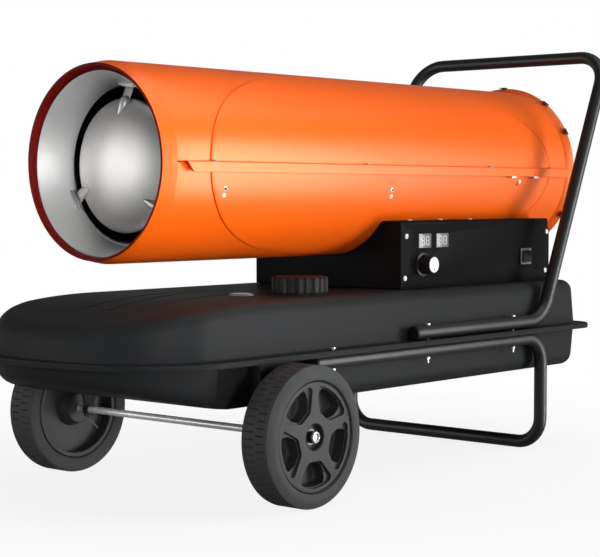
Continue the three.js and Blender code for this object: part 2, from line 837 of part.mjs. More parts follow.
// Rear leg frame and handle: two bent tubes on the flange, with bolts through them.
const [rightX, leftX] = [tubeX, -tubeX];
const corner = (x, y, z) => new THREE.Vector3(x, y, z);
const legRoute = new BentRoute([
  corner(rightX, frameFront, frameRunZ),
  corner(rightX, legY, frameRunZ),
  corner(rightX, legY, tubeRadius),
  corner(leftX, legY, tubeRadius),
  corner(leftX, legY, frameRunZ),
  corner(leftX, frameFront, frameRunZ),
], [legTopBend, legFootBend, legFootBend, legTopBend]);
const handleRoute = new BentRoute([
  corner(rightX, handleFront, handleRunZ),
  corner(rightX, handleBendY, handleRunZ),
  corner(rightX, handleTopY, handleTopZ),
  corner(leftX, handleTopY, handleTopZ),
  corner(leftX, handleBendY, handleRunZ),
  corner(leftX, handleFront, handleRunZ),
], [handleLowBend, handleTopBend, handleTopBend, handleLowBend]);

function tubeHoles(rows, z) {
  const ends = [z - tubeRadius - overrun, z + tubeRadius + overrun];
  return [-1, 1].flatMap((side) => rows.map((y) =>
    rod('z', boltRadius + fit, ...ends, [side * tubeX, y, 0], boltSteps)));
}
const legTube = tube(legRoute, tubeRadius, tubeWall, tubeSides);
place('rear_leg_frame', cut(legTube, tubeHoles(boltRows, frameRunZ)), finish.black);
const handleTube = tube(handleRoute, tubeRadius, tubeWall, tubeSides);
place('handle_bar', cut(handleTube, tubeHoles(boltRows.slice(1), handleRunZ)), finish.black);

// Plastic end plugs: a head over the tube's end and a spigot inside it.
function endPlug(y, z, side, name) {
  const spigot = tubeRadius - tubeWall - 2 * fit;
  place(name, turned('y', [
    [0, -plugHead - fit],
    [tubeRadius - plugHead, -plugHead - fit],
    [tubeRadius, -fit - plugHead / 2],
    [tubeRadius, -fit],
    [spigot, -fit],
    [spigot, plugLength],
    [0, plugLength],
  ], [0, 0, 0], tubeSides), finish.plastic, [side * tubeX, y, z]);
}
endPlug(handleFront, handleRunZ, -1, 'handle_plug_left');
endPlug(handleFront, handleRunZ, 1, 'handle_plug_right');
endPlug(frameFront, frameRunZ, -1, 'frame_plug_left');
endPlug(frameFront, frameRunZ, 1, 'frame_plug_right');

// Through bolts with their nuts: the front pair holds the frame only, the others the handle too.
function throughBolt(side, row) {
  const y = boltRows[row];
  const seat = row === 0 ? flangeTop + fit : handleRunZ + tubeRadius + fit;
  const under = frameRunZ - tubeRadius - fit;
  const name = `through_bolt_${side < 0 ? 'left' : 'right'}_${row + 1}`;
  place(name, turned('z', [
    [0, under - boltHeadHeight - boltTail],
    [boltRadius, under - boltHeadHeight - boltTail],
    [boltRadius, under - boltHeadHeight],
    [boltHeadRadius, under - boltHeadHeight],
    [boltHeadRadius, under],
    [boltRadius, under],
    [boltRadius, seat],
    [boltHeadRadius, seat],
    [boltHeadRadius * chamferShare, seat + boltHeadHeight],
    [0, seat + boltHeadHeight],
  ], [0, 0, 0], boltSteps), finish.zinc, [side * tubeX, y, 0]);
}
for (const side of [-1, 1]) boltRows.forEach((_, row) => throughBolt(side, row));

// Axle and the two brackets that hang it under the tank flange.
const hubOuter = trackOuter - hubRecessDepth;
const axleEnd = hubOuter + fit + nutLength * axleEndShare;
place('axle', rod('x', axleRadius, -axleEnd, axleEnd, [0, 0, axleZ]), finish.zinc);

function axleBracket(side) {
  const inner = trackInner - bracketGap - bracketSheet;
  const top = flangeBottom - fit;
  const outline = new THREE.Shape();
  outline.moveTo(-bracketTopLength / 2, top);
  outline.lineTo(-bracketEyeRadius, axleZ);
  outline.absarc(0, axleZ, bracketEyeRadius, Math.PI, 2 * Math.PI, false);
  outline.lineTo(bracketTopLength / 2, top);
  const xs = [side * inner, side * (inner + bracketSheet)].sort((a, b) => a - b);
  const tab = [side * (inner - bracketTab), side * inner].sort((a, b) => a - b);
  const web = plate('x', outline, ...xs);
  const foot = block(...tab, -bracketTopLength / 2, bracketTopLength / 2, top - bracketSheet, top);
  const hole = rod('x', axleRadius + fit, xs[0] - overrun, xs[1] + overrun, [0, 0, axleZ]);
  return web.add(foot).subtract(hole);
}
place('axle_bracket_left', axleBracket(-1), finish.black);
place('axle_bracket_right', axleBracket(1), finish.black);

// Wheels, built about their own centres with the outer face towards +X.
const half = tyreWidth / 2;
const tyre = turned('x', [
  [rimRadius + fit, -half + tyreBead],
  [rimRadius + tyreBead, -half],
  [tyreRadius - tyreShoulder, -half],
  [tyreRadius, -half + tyreShoulder],
  [tyreRadius, half - tyreShoulder],
  [tyreRadius - tyreShoulder, half],
  [rimRadius + tyreBead, half],
  [rimRadius + fit, half - tyreBead],
], [0, 0, 0], tyreSteps, Math.PI / tyreSteps);

const rimHalf = half - rimInset;
const recessFloor = half - hubRecessDepth;
const rimBody = turned('x', [
  [axleRadius + fit, -half],
  [hubRadius - rimWall, -half],
  [hubRadius, -webThickness / 2],
  [rimRadius - rimWall, -webThickness / 2],
  [rimRadius - rimWall, -rimHalf],
  [rimRadius, -rimHalf],
  [rimRadius, rimHalf],
  [rimRadius - rimWall, rimHalf],
  [rimRadius - rimWall, webThickness / 2],
  [hubRadius, webThickness / 2],
  [hubRadius, rimHalf],
  [hubRecessRadius, rimHalf],
  [hubRecessRadius, recessFloor],
  [axleRadius + fit, recessFloor],
], [0, 0, 0], rimSteps);
const spokes = Array.from({ length: spokeCount }, (_, k) => {
  const reach = rimRadius - rimWall / 2 - hubRecessRadius - rimWall / 2;
  const spoke = new THREE.BoxGeometry(rimHalf - webThickness / 4, spokeWidth, reach);
  spoke.translate((rimHalf + webThickness / 4) / 2, 0, hubRecessRadius + rimWall / 2 + reach / 2);
  return solid(spoke.rotateX(2 * Math.PI * k / spokeCount));
});
const rim = joined([rimBody, ...spokes]);
const hubNut = turned('x', [
  [axleRadius + fit, recessFloor + fit],
  [washerRadius, recessFloor + fit],
  [washerRadius, recessFloor + fit + washerThickness],
  [nutRadius, recessFloor + fit + washerThickness],
  [nutRadius, recessFloor + fit + nutLength],
  [axleRadius + fit, recessFloor + fit + nutLength],
], [0, 0, 0], nutSteps);

function wheel(side, name) {
  const group = new THREE.Group();
  group.position.set(side * (trackOuter - half), 0, axleZ);
  group.rotation.z = side < 0 ? Math.PI : 0;
  heater.add(group);
  place(`tyre_${name}`, tyre, finish.rubber, [0, 0, 0], group);
  place(`wheel_rim_${name}`, rim, finish.rim, [0, 0, 0], group);
  place(`hub_nut_${name}`, hubNut, finish.zinc, [0, 0, 0], group);
}
wheel(-1, 'left');
wheel(1, 'right');

// Shell: one turned profile, parted along its middle, with a flange on each side of both halves.
const shellProfile = [
  [lipRadius - sheet, shellFront],
  [lipRadius, shellFront],
  [shellRadius, shellFront + lipLength],
  [shellRadius, shellRear - collarLength],
  [collarRadius, shellRear],
  [collarRadius - sheet, shellRear],
  [shellInner, shellRear - collarLength],
  [shellInner, shellFront + lipLength],
];
const shellCentre = [0, 0, shellAxisZ];
const shellTube = turned('y', shellProfile, shellCentre, shellSteps);
const reachX = collarRadius + overrun;
function shellHalf(low, high) {
  return shellTube.intersect(block(-reachX, reachX, shellFront - overrun, shellRear + overrun, low, high));
}
const partingTop = shellAxisZ + fit / 2;
const partingBottom = shellAxisZ - fit / 2;
const seamRoot = shellRadius - sheet / 2;
function upperSeam(side) {
  const outer = shellRadius + seamWidth;
  const shelf = [side * seamRoot, side * outer].sort((a, b) => a - b);
  const skirt = [side * (outer - sheet), side * outer].sort((a, b) => a - b);
  const face = shapeOf([
    [seamFront, partingTop + sheet],
    [seamFront, partingTop],
    [seamFront + seamSlant, shellAxisZ - seamSkirt],
    [seamRear, shellAxisZ - seamSkirt],
    [seamRear, partingTop + sheet],
  ]);
  const top = block(...shelf, seamFront, seamRear, partingTop, partingTop + sheet);
  return top.add(plate('x', face, ...skirt));
}
function lowerSeam(side) {
  const shelf = [side * seamRoot, side * (shellRadius + lowerSeamWidth)].sort((a, b) => a - b);
  return block(...shelf, seamFront + seamSlant, seamRear, partingBottom - sheet, partingBottom);
}
const upperHalf = shellHalf(partingTop, shellAxisZ + reachX);
place('upper_shell', joined([upperHalf, upperSeam(-1), upperSeam(1)]), finish.orange);
const lowerHalf = shellHalf(shellAxisZ - reachX, partingBottom);
const shellFloor = shellAxisZ - shellRadius;
const floorEnds = [shellFloor - overrun, shellFloor + overrun];
const shellLineHole = rod('z', lineHole, ...floorEnds, [0, lineY, 0], smallSteps);
place('lower_shell', cut(joined([lowerHalf, lowerSeam(-1), lowerSeam(1)]), [shellLineHole]), finish.orange);

// Outlet cone: its rim fits the shell's mouth, and its small end slides over the combustion chamber.
place('outlet_cone', turned('y', sheetProfile([
  [coneRimRadius - steel / 2, coneFront + coneRim],
  [coneRimRadius - steel / 2, coneFront],
  [coneRearRadius, coneRear],
  [coneRearRadius, coneRear + coneSkirt],
], steel), shellCentre, shellSteps), finish.stainless);

// Deflector dome with its three gusset brackets, which stand on the cone.
const domeCurve = (domeRadius ** 2 + domeDepth ** 2) / (2 * domeDepth);
const domeSpan = Math.asin(domeRadius / domeCurve);
const domePoints = [[domeRadius, domeRim + domeSkirt]];
for (let k = domeSteps; k >= 0; k -= 1) {
  const angle = domeSpan * k / domeSteps;
  const radius = k === 0 ? 0 : domeCurve * Math.sin(angle);
  domePoints.push([radius, domeApex + domeCurve * (1 - Math.cos(angle))]);
}
const domeShell = turned('y', sheetProfile(domePoints, steel), [0, 0, 0], domeSides);
const coneSlope = (coneRimRadius - coneRearRadius) / (coneRear - coneFront);
const footDepth = (steel / 2 + 2 * fit) * Math.hypot(1, coneSlope);
const finFoot = (ahead) => [coneRearRadius + coneSlope * ahead - footDepth, coneRear - ahead];
const finShape = shapeOf([
  [finInnerRadius, domeRim - domeDepth / 2],
  [finInnerRadius + finFootWidth / 2, domeApex],
  finFoot(finFootWidth),
  finFoot(finFootWidth / 2),
  [domeRadius, domeRim + domeSkirt],
  [domeRadius - 2 * steel, domeRim],
]);
const fins = Array.from({ length: finCount }, (_, k) => {
  const turn = 2 * Math.PI * k / finCount;
  const fin = new THREE.ExtrudeGeometry(finShape, { depth: finThickness, bevelEnabled: false });
  fin.translate(0, 0, -finThickness / 2);
  fin.rotateY(-Math.PI / 2 - turn);
  return solid(fin);
});
place('deflector_dome', joined([domeShell, ...fins]), finish.stainless, shellCentre);

// Combustion chamber: a drum with a burner port at its rear and feet on the lower shell.
const chamberBody = turned('y', sheetProfile([
  [chamberRadius - chamberWall / 2, chamberFront],
  [chamberRadius - chamberWall / 2, chamberRear - chamberWall / 2],
  [burnerPortRadius, chamberRear - chamberWall / 2],
], chamberWall), [0, 0, 0], domeSides);
const footReach = shellInner - fit - chamberRadius + chamberWall / 2;
const chamberFootBlocks = footAngles.flatMap((angle) => chamberFeet.map((y) => {
  const foot = new THREE.BoxGeometry(footReach, footWidth, footWidth / 2);
  foot.translate(chamberRadius - chamberWall / 2 + footReach / 2 - fit, y, 0);
  return solid(foot.rotateY(-degrees(angle)));
}));
place('combustion_chamber', joined([chamberBody, ...chamberFootBlocks]), finish.heated, shellCentre);

// Burner head: a disc over the port with a nozzle tube, and holes for the electrode and the photocell.
const headFront = chamberRear + fit;
const headRear = headFront + headLength;
const headSolid = turned('y', [
  [nozzleRadius + fit, headFront],
  [headFlange, headFront],
  [headFlange, headFront + chamberWall],
  [headBody, headFront + chamberWall],
  [headBody, headRear],
  [nozzleRadius + fit, headRear],
]);
place('burner_head', cut(headSolid, [
  rod('y', sparkRadius + fit, headFront - overrun, headRear + overrun, [0, 0, sparkOffset], smallSteps),
  rod('y', cellRadius - cellStep, headFront - overrun, headRear + overrun, [cellOffset, 0, 0], smallSteps),
]), finish.aluminium, shellCentre);

const lineEntry = nozzleBlock * lineEntryShare;
const linePort = [-nozzleBlock - overrun, fit - lineEntry];
const linePorts = ['x', 'z'].map((axis) =>
  rod(axis, linePortRadius, ...linePort, [0, lineY, 0], lineSides));
place('fuel_nozzle', cut(turned('y', [
  [0, nozzleFront],
  [nozzleRadius / 3, nozzleFront],
  [nozzleRadius, nozzleFront + nozzleRadius],
  [nozzleRadius, nozzleBlockFront + fit],
  [nozzleBlock, nozzleBlockFront + fit],
  [nozzleBlock, nozzleRear],
  [0, nozzleRear],
]), linePorts), finish.brass, shellCentre);

const sparkRear = headRear + sparkLength - headLength;
place('spark_electrode', turned('y', [
  [0, headFront - sparkTip],
  [sparkPin, headFront - sparkTip],
  [sparkPin, headFront - sparkNose],
  [sparkRadius, headFront - sparkNose],
  [sparkRadius, headRear + fit],
  [sparkCollar, headRear + fit],
  [sparkCollar, sparkRear],
  [0, sparkRear],
], [0, 0, sparkOffset], smallSteps), finish.ceramic, shellCentre);

place('photocell', turned('y', [
  [0, headRear - cellLength / 2],
  [cellRadius - cellStep - fit, headRear - cellLength / 2],
  [cellRadius - cellStep - fit, headRear + fit],
  [cellRadius, headRear + fit],
  [cellRadius, headRear + cellLength],
  [0, headRear + cellLength],
], [cellOffset, 0, 0], smallSteps), finish.plastic, shellCentre);

// Fan: a hub and pitched blades on the motor shaft.
const fanMiddle = fanFront + fanLength / 2;
const hub = ring('y', shaftRadius + fit, fanHub, -fanLength / 2, fanLength / 2);
const bladeShape = shapeOf([
  [fanHub - bladeRoot, -bladeChord * bladeRootShare],
  ...bladeShares.map(([reach, chord]) => [fanRadius * reach, bladeChord * chord]),
  [fanHub - bladeRoot, bladeChord * bladeRootShare],
]);
const blades = Array.from({ length: bladeCount }, (_, k) => {
  const blade = new THREE.ExtrudeGeometry(bladeShape, { depth: bladeThickness, bevelEnabled: false });
  blade.translate(0, 0, -bladeThickness / 2).rotateX(Math.PI / 2);
  blade.rotateX(degrees(bladePitch)).rotateY(2 * Math.PI * k / bladeCount);
  return solid(blade);
});
const fanBody = cut(joined([hub, ...blades]), [rod('y', shaftRadius + fit, -fanLength, fanLength)]);
place('fan', fanBody, finish.aluminium, [0, fanMiddle, shellAxisZ]);

const shaftRear = pumpFront + pumpLength - fit;
place('motor_shaft', rod('y', shaftRadius, fanFront - fit, shaftRear, shellCentre), finish.zinc);

const motorRear = motorFront + motorLength;
place('motor_body', turned('y', [
  [shaftRadius + fit, motorFront - motorNose],
  [motorNoseRadius, motorFront - motorNose],
  [motorNoseRadius, motorFront],
  [motorRadius - motorChamfer, motorFront],
  [motorRadius, motorFront + motorChamfer],
  [motorRadius, motorRear - motorChamfer],
  [motorRadius - motorChamfer, motorRear],
  [shaftRadius + fit, motorRear],
], [0, 0, 0], fineSteps), finish.black, shellCentre);

// Motor bracket: a saddle under the motor, two webs and a foot that follows the lower shell.
const saddleInner = motorRadius + fit;
const saddleOuter = saddleInner + saddleSheet;
const footOuterRadius = shellInner - fit;
const footInnerRadius = footOuterRadius - saddleSheet;
const [supportFront, supportRear] = [motorFront + bracketInset, motorRear - bracketInset];
const lowWedge = (spread, reach) => plate('y', shapeOf([
  [0, 0],
  [-reach * Math.tan(degrees(spread)), -reach],
  [reach * Math.tan(degrees(spread)), -reach],
]), supportFront, supportRear);
const saddle = ring('y', saddleInner, saddleOuter, supportFront, supportRear, [0, 0, 0], fineSteps)
  .intersect(lowWedge(saddleAngle, motorRadius * 2));
const footRing = ring('y', footInnerRadius, footOuterRadius, supportFront, supportRear,
  [0, 0, 0], shellSteps);
const shellFoot = footRing.intersect(lowWedge(bracketFootAngle, shellRadius * 2));
const web = (side) => {
  const xs = [side * (bracketWeb - saddleSheet), side * bracketWeb].sort((a, b) => a - b);
  return block(...xs, supportFront, supportRear, -footInnerRadius, -motorRadius * webShare);
};
const motorSupport = joined([saddle, shellFoot, web(-1), web(1)])
  .subtract(rod('y', saddleInner, supportFront - overrun, supportRear + overrun, [0, 0, 0], fineSteps));
place('motor_bracket', motorSupport, finish.zinc, shellCentre);

// Air pump on the rear of the motor: body, vane rotor and a cover that carries the filter.
const airStart = pumpFront + pumpLength / 2;
const portEnds = [-pumpRadius - overrun, airPortDepth - pumpRadius];
const airPort = rod('x', linePortRadius, ...portEnds, [0, airStart, 0], lineSides);
place('pump_body', turned('y', [
  [shaftRadius + fit, pumpFront],
  [pumpRadius, pumpFront],
  [pumpRadius, pumpRear],
  [pumpBore, pumpRear],
  [pumpBore, pumpFront + pumpWall],
  [shaftRadius + fit, pumpFront + pumpWall],
], [0, 0, 0], fineSteps).subtract(airPort), finish.aluminium, shellCentre);
const rotorFront = pumpFront + pumpWall + fit;
place('pump_rotor', ring('y', shaftRadius + fit, rotorRadius, rotorFront, pumpRear - fit),
  finish.copper, shellCentre);
place('pump_cover', turned('y', [
  [0, pumpRear + fit],
  [pumpRadius, pumpRear + fit],
  [pumpRadius, pumpRear + fit + pumpCoverLength],
  [filterRadius, pumpRear + fit + pumpCoverLength],
  [filterRadius, filterRear],
  [0, filterRear],
], [0, 0, 0], roundSteps), finish.plastic, shellCentre);

// Fan guard: a flat grille inside the collar, with clips that hook over its edge.
const guardSlope = (collarRadius - shellRadius) / collarLength;
const guardEdge = shellInner + guardSlope * (guardY - shellRear + collarLength) - fit;
const guardRear = guardY + guardThickness;
const rings = guardRings.map((radius) =>
  ring('y', radius - guardWire / 2, radius + guardWire / 2, guardY, guardRear, [0, 0, 0], guardSides));
const rimRing = ring('y', guardEdge - guardWire, guardEdge, guardY, guardRear, [0, 0, 0], shellSteps);
const bars = Array.from({ length: guardSpokes }, (_, k) => {
  const bar = new THREE.BoxGeometry(guardEdge - guardWire / 2 - guardRings[0], guardThickness, guardWire);
  bar.translate((guardEdge - guardWire / 2 + guardRings[0]) / 2, guardY + guardThickness / 2, 0);
  return solid(bar.rotateY(2 * Math.PI * (k + 1 / 2) / guardSpokes));
});
const hookOuter = collarRadius + fit + clipWire;
const clipRear = shellRear + fit + clipWire;
const clipShape = shapeOf([
  [guardEdge - guardWire, guardY],
  [guardEdge - fit, guardY],
  [guardEdge - fit, shellRear + fit],
  [collarRadius + fit, shellRear + fit],
  [collarRadius + fit, shellRear - clipReach],
  [hookOuter, shellRear - clipReach],
  [hookOuter, clipRear],
  [guardEdge - guardWire, clipRear],
]);
const clips = clipAngles.map((angle) => {
  const clip = new THREE.ExtrudeGeometry(clipShape, { depth: clipWidth, bevelEnabled: false });
  return solid(clip.translate(0, 0, -clipWidth / 2).rotateY(-degrees(angle)));
});
place('fan_guard', joined([rimRing, ...rings, ...bars, ...clips]), finish.black, shellCentre);

// Air line: from the pump forward past the fan to the nozzle block.
const airRoute = new BentRoute([
  corner(airPortDepth - fit - pumpRadius, airStart, 0),
  corner(-airLineX, airStart, 0),
  corner(-airLineX, airLineTurn, 0),
  corner(-airLineX * airLineStepShare, lineY, 0),
  corner(-lineEntry, lineY, 0),
], airLineBends);
place('air_line', tube(airRoute, airLineRadius, 0, lineSides), finish.copper, shellCentre);

// Fuel line: a standing pipe from the pickup filter in the tank up to the nozzle block.
const pickupBase = tankBottom + tankSheet + pickupClearance;
const lineTop = shellAxisZ - lineEntry;
place('fuel_line', turned('z', [
  [0, pickupBase],
  [pickupRadius, pickupBase],
  [pickupRadius, pickupBase + pickupLength],
  [airLineRadius, pickupBase + pickupLength + airLineRadius],
  [airLineRadius, lineTop],
  [0, lineTop],
], [0, lineY, 0], smallSteps), finish.copper);

// Control box: a folded sheet housing whose ends and top are cut to the shell's curve.
const boxOuter = block(-boxHalfWidth, boxHalfWidth, boxFront, boxRear, boxBottom, boxTop);
const boxHollow = block(boxSheet - boxHalfWidth, boxHalfWidth - boxSheet,
  boxFront + boxSheet, boxRear - boxSheet, boxBottom + boxSheet, boxTop - boxSheet);
const panelOpening = block(boxHalfWidth - 2 * boxSheet, boxHalfWidth + overrun,
  boxFront + boxLip, boxRear - boxLip, boxBottom + boxLip, panelTop - boxLip);
const shellCut = rod('y', shellRadius + fit, boxFront - overrun, boxRear + overrun,
  shellCentre, shellSteps);
place('control_box', cut(boxOuter, [
  boxHollow,
  panelOpening,
  shellCut,
  rod('z', lineHole, boxBottom - overrun, boxBottom + boxSheet + overrun, [0, lineY, 0], smallSteps),
  rod('y', glandRadius + fit, boxRear - overrun, boxRear + overrun, [glandX, 0, glandZ], smallSteps),
]), finish.black);

// Control panel: the plate on the right side, cut for the displays, the thermostat stem and the switch.
const panelHeight = panelTop - boxBottom;
const panelShape = roundedRectangle((boxFront + boxRear) / 2, boxBottom + panelHeight / 2,
  boxRear - boxFront, panelHeight, panelCorner, [false, false, true, false]);
const face = panelX + panelThickness;
const displayHole = (y) => block(panelX - overrun, face + overrun,
  y - displayWidth / 2 - fit, y + displayWidth / 2 + fit,
  displayZ - displayHeight / 2 - fit, displayZ + displayHeight / 2 + fit);
const switchHole = block(panelX - overrun, face + overrun,
  switchY - switchWidth / 2 + switchFrame / 2, switchY + switchWidth / 2 - switchFrame / 2,
  switchZ - switchHeight / 2 + switchFrame / 2, switchZ + switchHeight / 2 - switchFrame / 2);
place('control_panel', cut(plate('x', panelShape, panelX, face), [
  displayHole(displayY[0]),
  displayHole(displayY[1]),
  switchHole,
  rod('x', knobBore + stemClearance, panelX - overrun, face + overrun, [0, knobY, knobZ], smallSteps),
]), finish.black);

// Displays: two-digit modules that stand in the panel and plug into the board.
function display(y) {
  return block(face - displayDepth, face + displayProud, y - displayWidth / 2, y + displayWidth / 2,
    displayZ - displayHeight / 2, displayZ + displayHeight / 2);
}
place('display_set_temperature', display(displayY[0]), finish.grey);
place('display_room_temperature', display(displayY[1]), finish.grey);

const boardX = face - displayDepth - fit;
place('circuit_board', block(boardX - boardThickness, boardX, ...boardY, ...boardZ), finish.board);

// Thermostat and its knob: the stem passes through the panel, and the knob turns on it.
const stemEnd = face + thermostatStem;
place('thermostat', joined([
  block(panelX - fit - thermostatDepth, panelX - fit,
    knobY - thermostatWidth / 2, knobY + thermostatWidth / 2,
    knobZ - thermostatHeight / 2, knobZ + thermostatHeight / 2),
  rod('x', knobBore, panelX - 2 * fit, stemEnd, [0, knobY, knobZ], smallSteps),
]), finish.zinc);

const knobBack = face + fit;
const knobFront = knobBack + knobSkirtLength + knobLength;
place('thermostat_knob', turned('x', [
  [knobBore + fit, knobBack],
  [knobSkirtRadius, knobBack],
  [knobSkirtRadius - knobDraft, knobBack + knobSkirtLength],
  [knobRadius, knobBack + knobSkirtLength],
  [knobRadius - knobDraft, knobFront],
  [0, knobFront],
  [0, stemEnd + fit],
  [knobBore + fit, stemEnd + fit],
], [0, knobY, knobZ], fineSteps), finish.plastic);

// Power switch: a frame through the panel and a rocker that tips about an upright pin.
const bodyWidth = switchWidth - switchFrame - 2 * fit;
const bodyHeight = switchHeight - switchFrame - 2 * fit;
const frameBack = face + fit;
const bezel = roundedRectangle(switchY, switchZ, switchWidth, switchHeight, switchCorner);
const frameBlock = joined([
  plate('x', bezel, frameBack, frameBack + switchProud),
  block(frameBack - switchDepth, frameBack + switchProud / 2,
    switchY - bodyWidth / 2, switchY + bodyWidth / 2,
    switchZ - bodyHeight / 2, switchZ + bodyHeight / 2),
]);
const wellWidth = bodyWidth - 2 * switchWall;
const wellHeight = bodyHeight - 2 * switchWall;
const pinX = frameBack - rockerPinInset;
const pinReach = wellHeight / 2 + switchWall / 2;
const well = block(frameBack - switchWell, frameBack + switchProud + overrun,
  switchY - wellWidth / 2, switchY + wellWidth / 2, switchZ - wellHeight / 2, switchZ + wellHeight / 2);
const rockerPin = rod('z', rockerPinRadius, -pinReach, pinReach, [pinX, switchY, switchZ], smallSteps);
place('switch_frame', frameBlock.subtract(well).add(rockerPin), finish.plastic);

const rockerHalf = wellWidth / 2 - rockerGap;
const rockerShape = new THREE.Shape();
const rockerRise = Math.tan(degrees(rockerTilt)) * rockerHalf;
rockerShape.moveTo(-rockerRootWidth / 2, -rockerRootDepth);
rockerShape.lineTo(rockerRootWidth / 2, -rockerRootDepth);
rockerShape.lineTo(rockerRootWidth / 2, rockerPinRadius + rockerShoulder);
rockerShape.lineTo(rockerHalf, switchProud + rockerProud - rockerRise / 2);
rockerShape.lineTo(rockerHalf - rockerDraft, switchProud + rockerProud + rockerRise / 2);
rockerShape.lineTo(0, switchProud + rockerProud - rockerRise / 2);
rockerShape.lineTo(rockerDraft - rockerHalf, switchProud + rockerProud + rockerRise / 2);
rockerShape.lineTo(-rockerHalf, switchProud + rockerProud - rockerRise / 2);
rockerShape.lineTo(-rockerRootWidth / 2, rockerPinRadius + rockerShoulder);
const rockerGroup = new THREE.Group();
rockerGroup.position.set(pinX, switchY, switchZ);
rockerGroup.rotation.z = -degrees(rockerTilt);
heater.add(rockerGroup);
const rockerBody = plate('z', rockerShape, -wellHeight / 2 + fit, wellHeight / 2 - fit)
  .subtract(rod('z', rockerPinRadius + fit, -wellHeight, wellHeight, [0, 0, 0], smallSteps));
const rockerMesh = place('switch_rocker', rockerBody, finish.grey, [0, 0, 0], rockerGroup);
rockerMesh.rotation.z = -Math.PI / 2;

// Ignition transformer on the box floor, and the power inlet gland in the box's rear wall.
const boxFloor = boxBottom + boxSheet + fit;
const transformer = block(...transformerX, ...transformerY, boxFloor, boxFloor + transformerHeight);
place('ignition_transformer', transformer, finish.plastic);
place('cable_gland', turned('y', [
  [glandRadius / 2, boxRear - boxSheet - fit - glandNutLength],
  [glandNut, boxRear - boxSheet - fit - glandNutLength],
  [glandNut, boxRear - boxSheet - fit],
  [glandRadius, boxRear - boxSheet - fit],
  [glandRadius, boxRear + fit],
  [glandNut, boxRear + fit],
  [glandNut, boxRear + glandNutLength],
  [glandRadius, boxRear + glandLength],
  [glandRadius / 2, boxRear + glandLength],
], [glandX, 0, glandZ], smallSteps), finish.plastic);

// The origin is on the floor, in the middle of the bounding box.
const frontMost = flangeFront - tankBulge;
const rearMost = handleTopY + tubeRadius;
heater.position.y = -(frontMost + rearMost) / 2;

export default heater;
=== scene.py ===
import math

import bmesh
import bpy
from mathutils import Matrix, Vector


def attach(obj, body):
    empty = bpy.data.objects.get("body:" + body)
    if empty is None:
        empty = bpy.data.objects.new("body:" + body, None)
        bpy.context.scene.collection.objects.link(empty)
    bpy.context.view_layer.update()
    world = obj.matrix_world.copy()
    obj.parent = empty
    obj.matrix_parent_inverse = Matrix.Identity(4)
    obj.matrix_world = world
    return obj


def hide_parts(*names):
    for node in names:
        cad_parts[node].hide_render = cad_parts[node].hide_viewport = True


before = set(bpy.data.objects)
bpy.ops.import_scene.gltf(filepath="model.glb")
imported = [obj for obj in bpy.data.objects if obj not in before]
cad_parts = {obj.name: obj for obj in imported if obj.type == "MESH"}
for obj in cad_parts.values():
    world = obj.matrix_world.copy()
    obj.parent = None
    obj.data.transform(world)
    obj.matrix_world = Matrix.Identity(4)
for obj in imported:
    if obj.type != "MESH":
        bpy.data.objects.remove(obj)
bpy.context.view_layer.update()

for thing in [bpy.data.objects.get(name) for name in ("Cube", "Light", "Camera")]:
    if thing:
        bpy.data.objects.remove(thing)

# ---------------------------------------------------------------------------------------------------------
# Tyres
# Solid rubber rings with a flat sidewall and two staggered rows of sixty tread blocks. They are moulded from
# carbon-filled rubber, which dries to a matt dark grey, and are pressed over the plastic rims.

axle_y = -300


def at(x, y, z):
    """A place in millimetres, lengthwise from the wheel axle, as a point of the frame in metres."""
    return Vector((x, axle_y + y, z)) / 1000


def linear(code):
    """An sRGB hex colour as the linear values that a shader takes."""
    values = [int(code[i:i + 2], 16) / 255 for i in (0, 2, 4)]
    return (*[v / 12.92 if v <= 0.04045 else ((v + 0.055) / 1.055) ** 2.4 for v in values], 1)


def add_node(tree, kind, settings=None, links=None):
    """Adds a node with its settings, and links its inputs to the given outputs."""
    node = tree.nodes.new(kind)
    for name, value in (settings or {}).items():
        if isinstance(name, int) or name in node.inputs:
            node.inputs[name].default_value = value
        else:
            setattr(node, name, value)
    for name, source in (links or {}).items():
        tree.links.new(source, node.inputs[name])
    return node


def start_finish(name, **settings):
    """Starts a material: it, its node tree, its shader and the piece's own coordinates in metres."""
    material = bpy.data.materials.new(name)
    material.use_nodes = True
    tree = material.node_tree
    shader = tree.nodes["Principled BSDF"]
    for socket, value in settings.items():
        shader.inputs[socket.replace("_", " ")].default_value = value
    return material, tree, shader, add_node(tree, "ShaderNodeTexCoord").outputs["Object"]


def layered(name, tone=None, gloss=None, relief=None, lathe=None, **settings):
    """A material of up to three layers. Each is a texture's kind and settings, and then two colours for tone,
    two roughnesses for gloss, or a strength and a depth in metres for relief. A one-dimensional texture
    follows what lathe, a function of the tree and the place, gives it."""
    material, tree, shader, place = start_finish(name, **settings)
    for layer, kind, fed, ends, result, socket in (
            (tone, "ShaderNodeMixRGB", "Fac", ("Color1", "Color2"), "Color", "Base Color"),
            (gloss, "ShaderNodeMapRange", "Value", ("To Min", "To Max"), "Result", "Roughness"),
            (relief, "ShaderNodeBump", "Height", ("Strength", "Distance"), "Normal", "Normal")):
        if layer:
            texture, scales, *values = layer
            path = {"W": lathe(tree, place)} if "noise_dimensions" in scales else {"Vector": place}
            pattern = add_node(tree, "ShaderNodeTex" + texture, scales, path)
            values = [linear(value) for value in values] if layer is tone else values
            node = add_node(tree, kind, dict(zip(ends, values)),
                            {fed: pattern.outputs["Distance" if texture == "Voronoi" else "Fac"]})
            tree.links.new(node.outputs[result], shader.inputs[socket])
    return material


def placed(name, add, **settings):
    """Adds a primitive at its size and place, with nothing else selected, and applies them to its mesh."""
    bpy.ops.object.select_all(action="DESELECT")
    add(**settings)
    bpy.ops.object.transform_apply(location=True, rotation=True, scale=True)
    piece = bpy.context.object
    piece.name = piece.data.name = name
    return piece


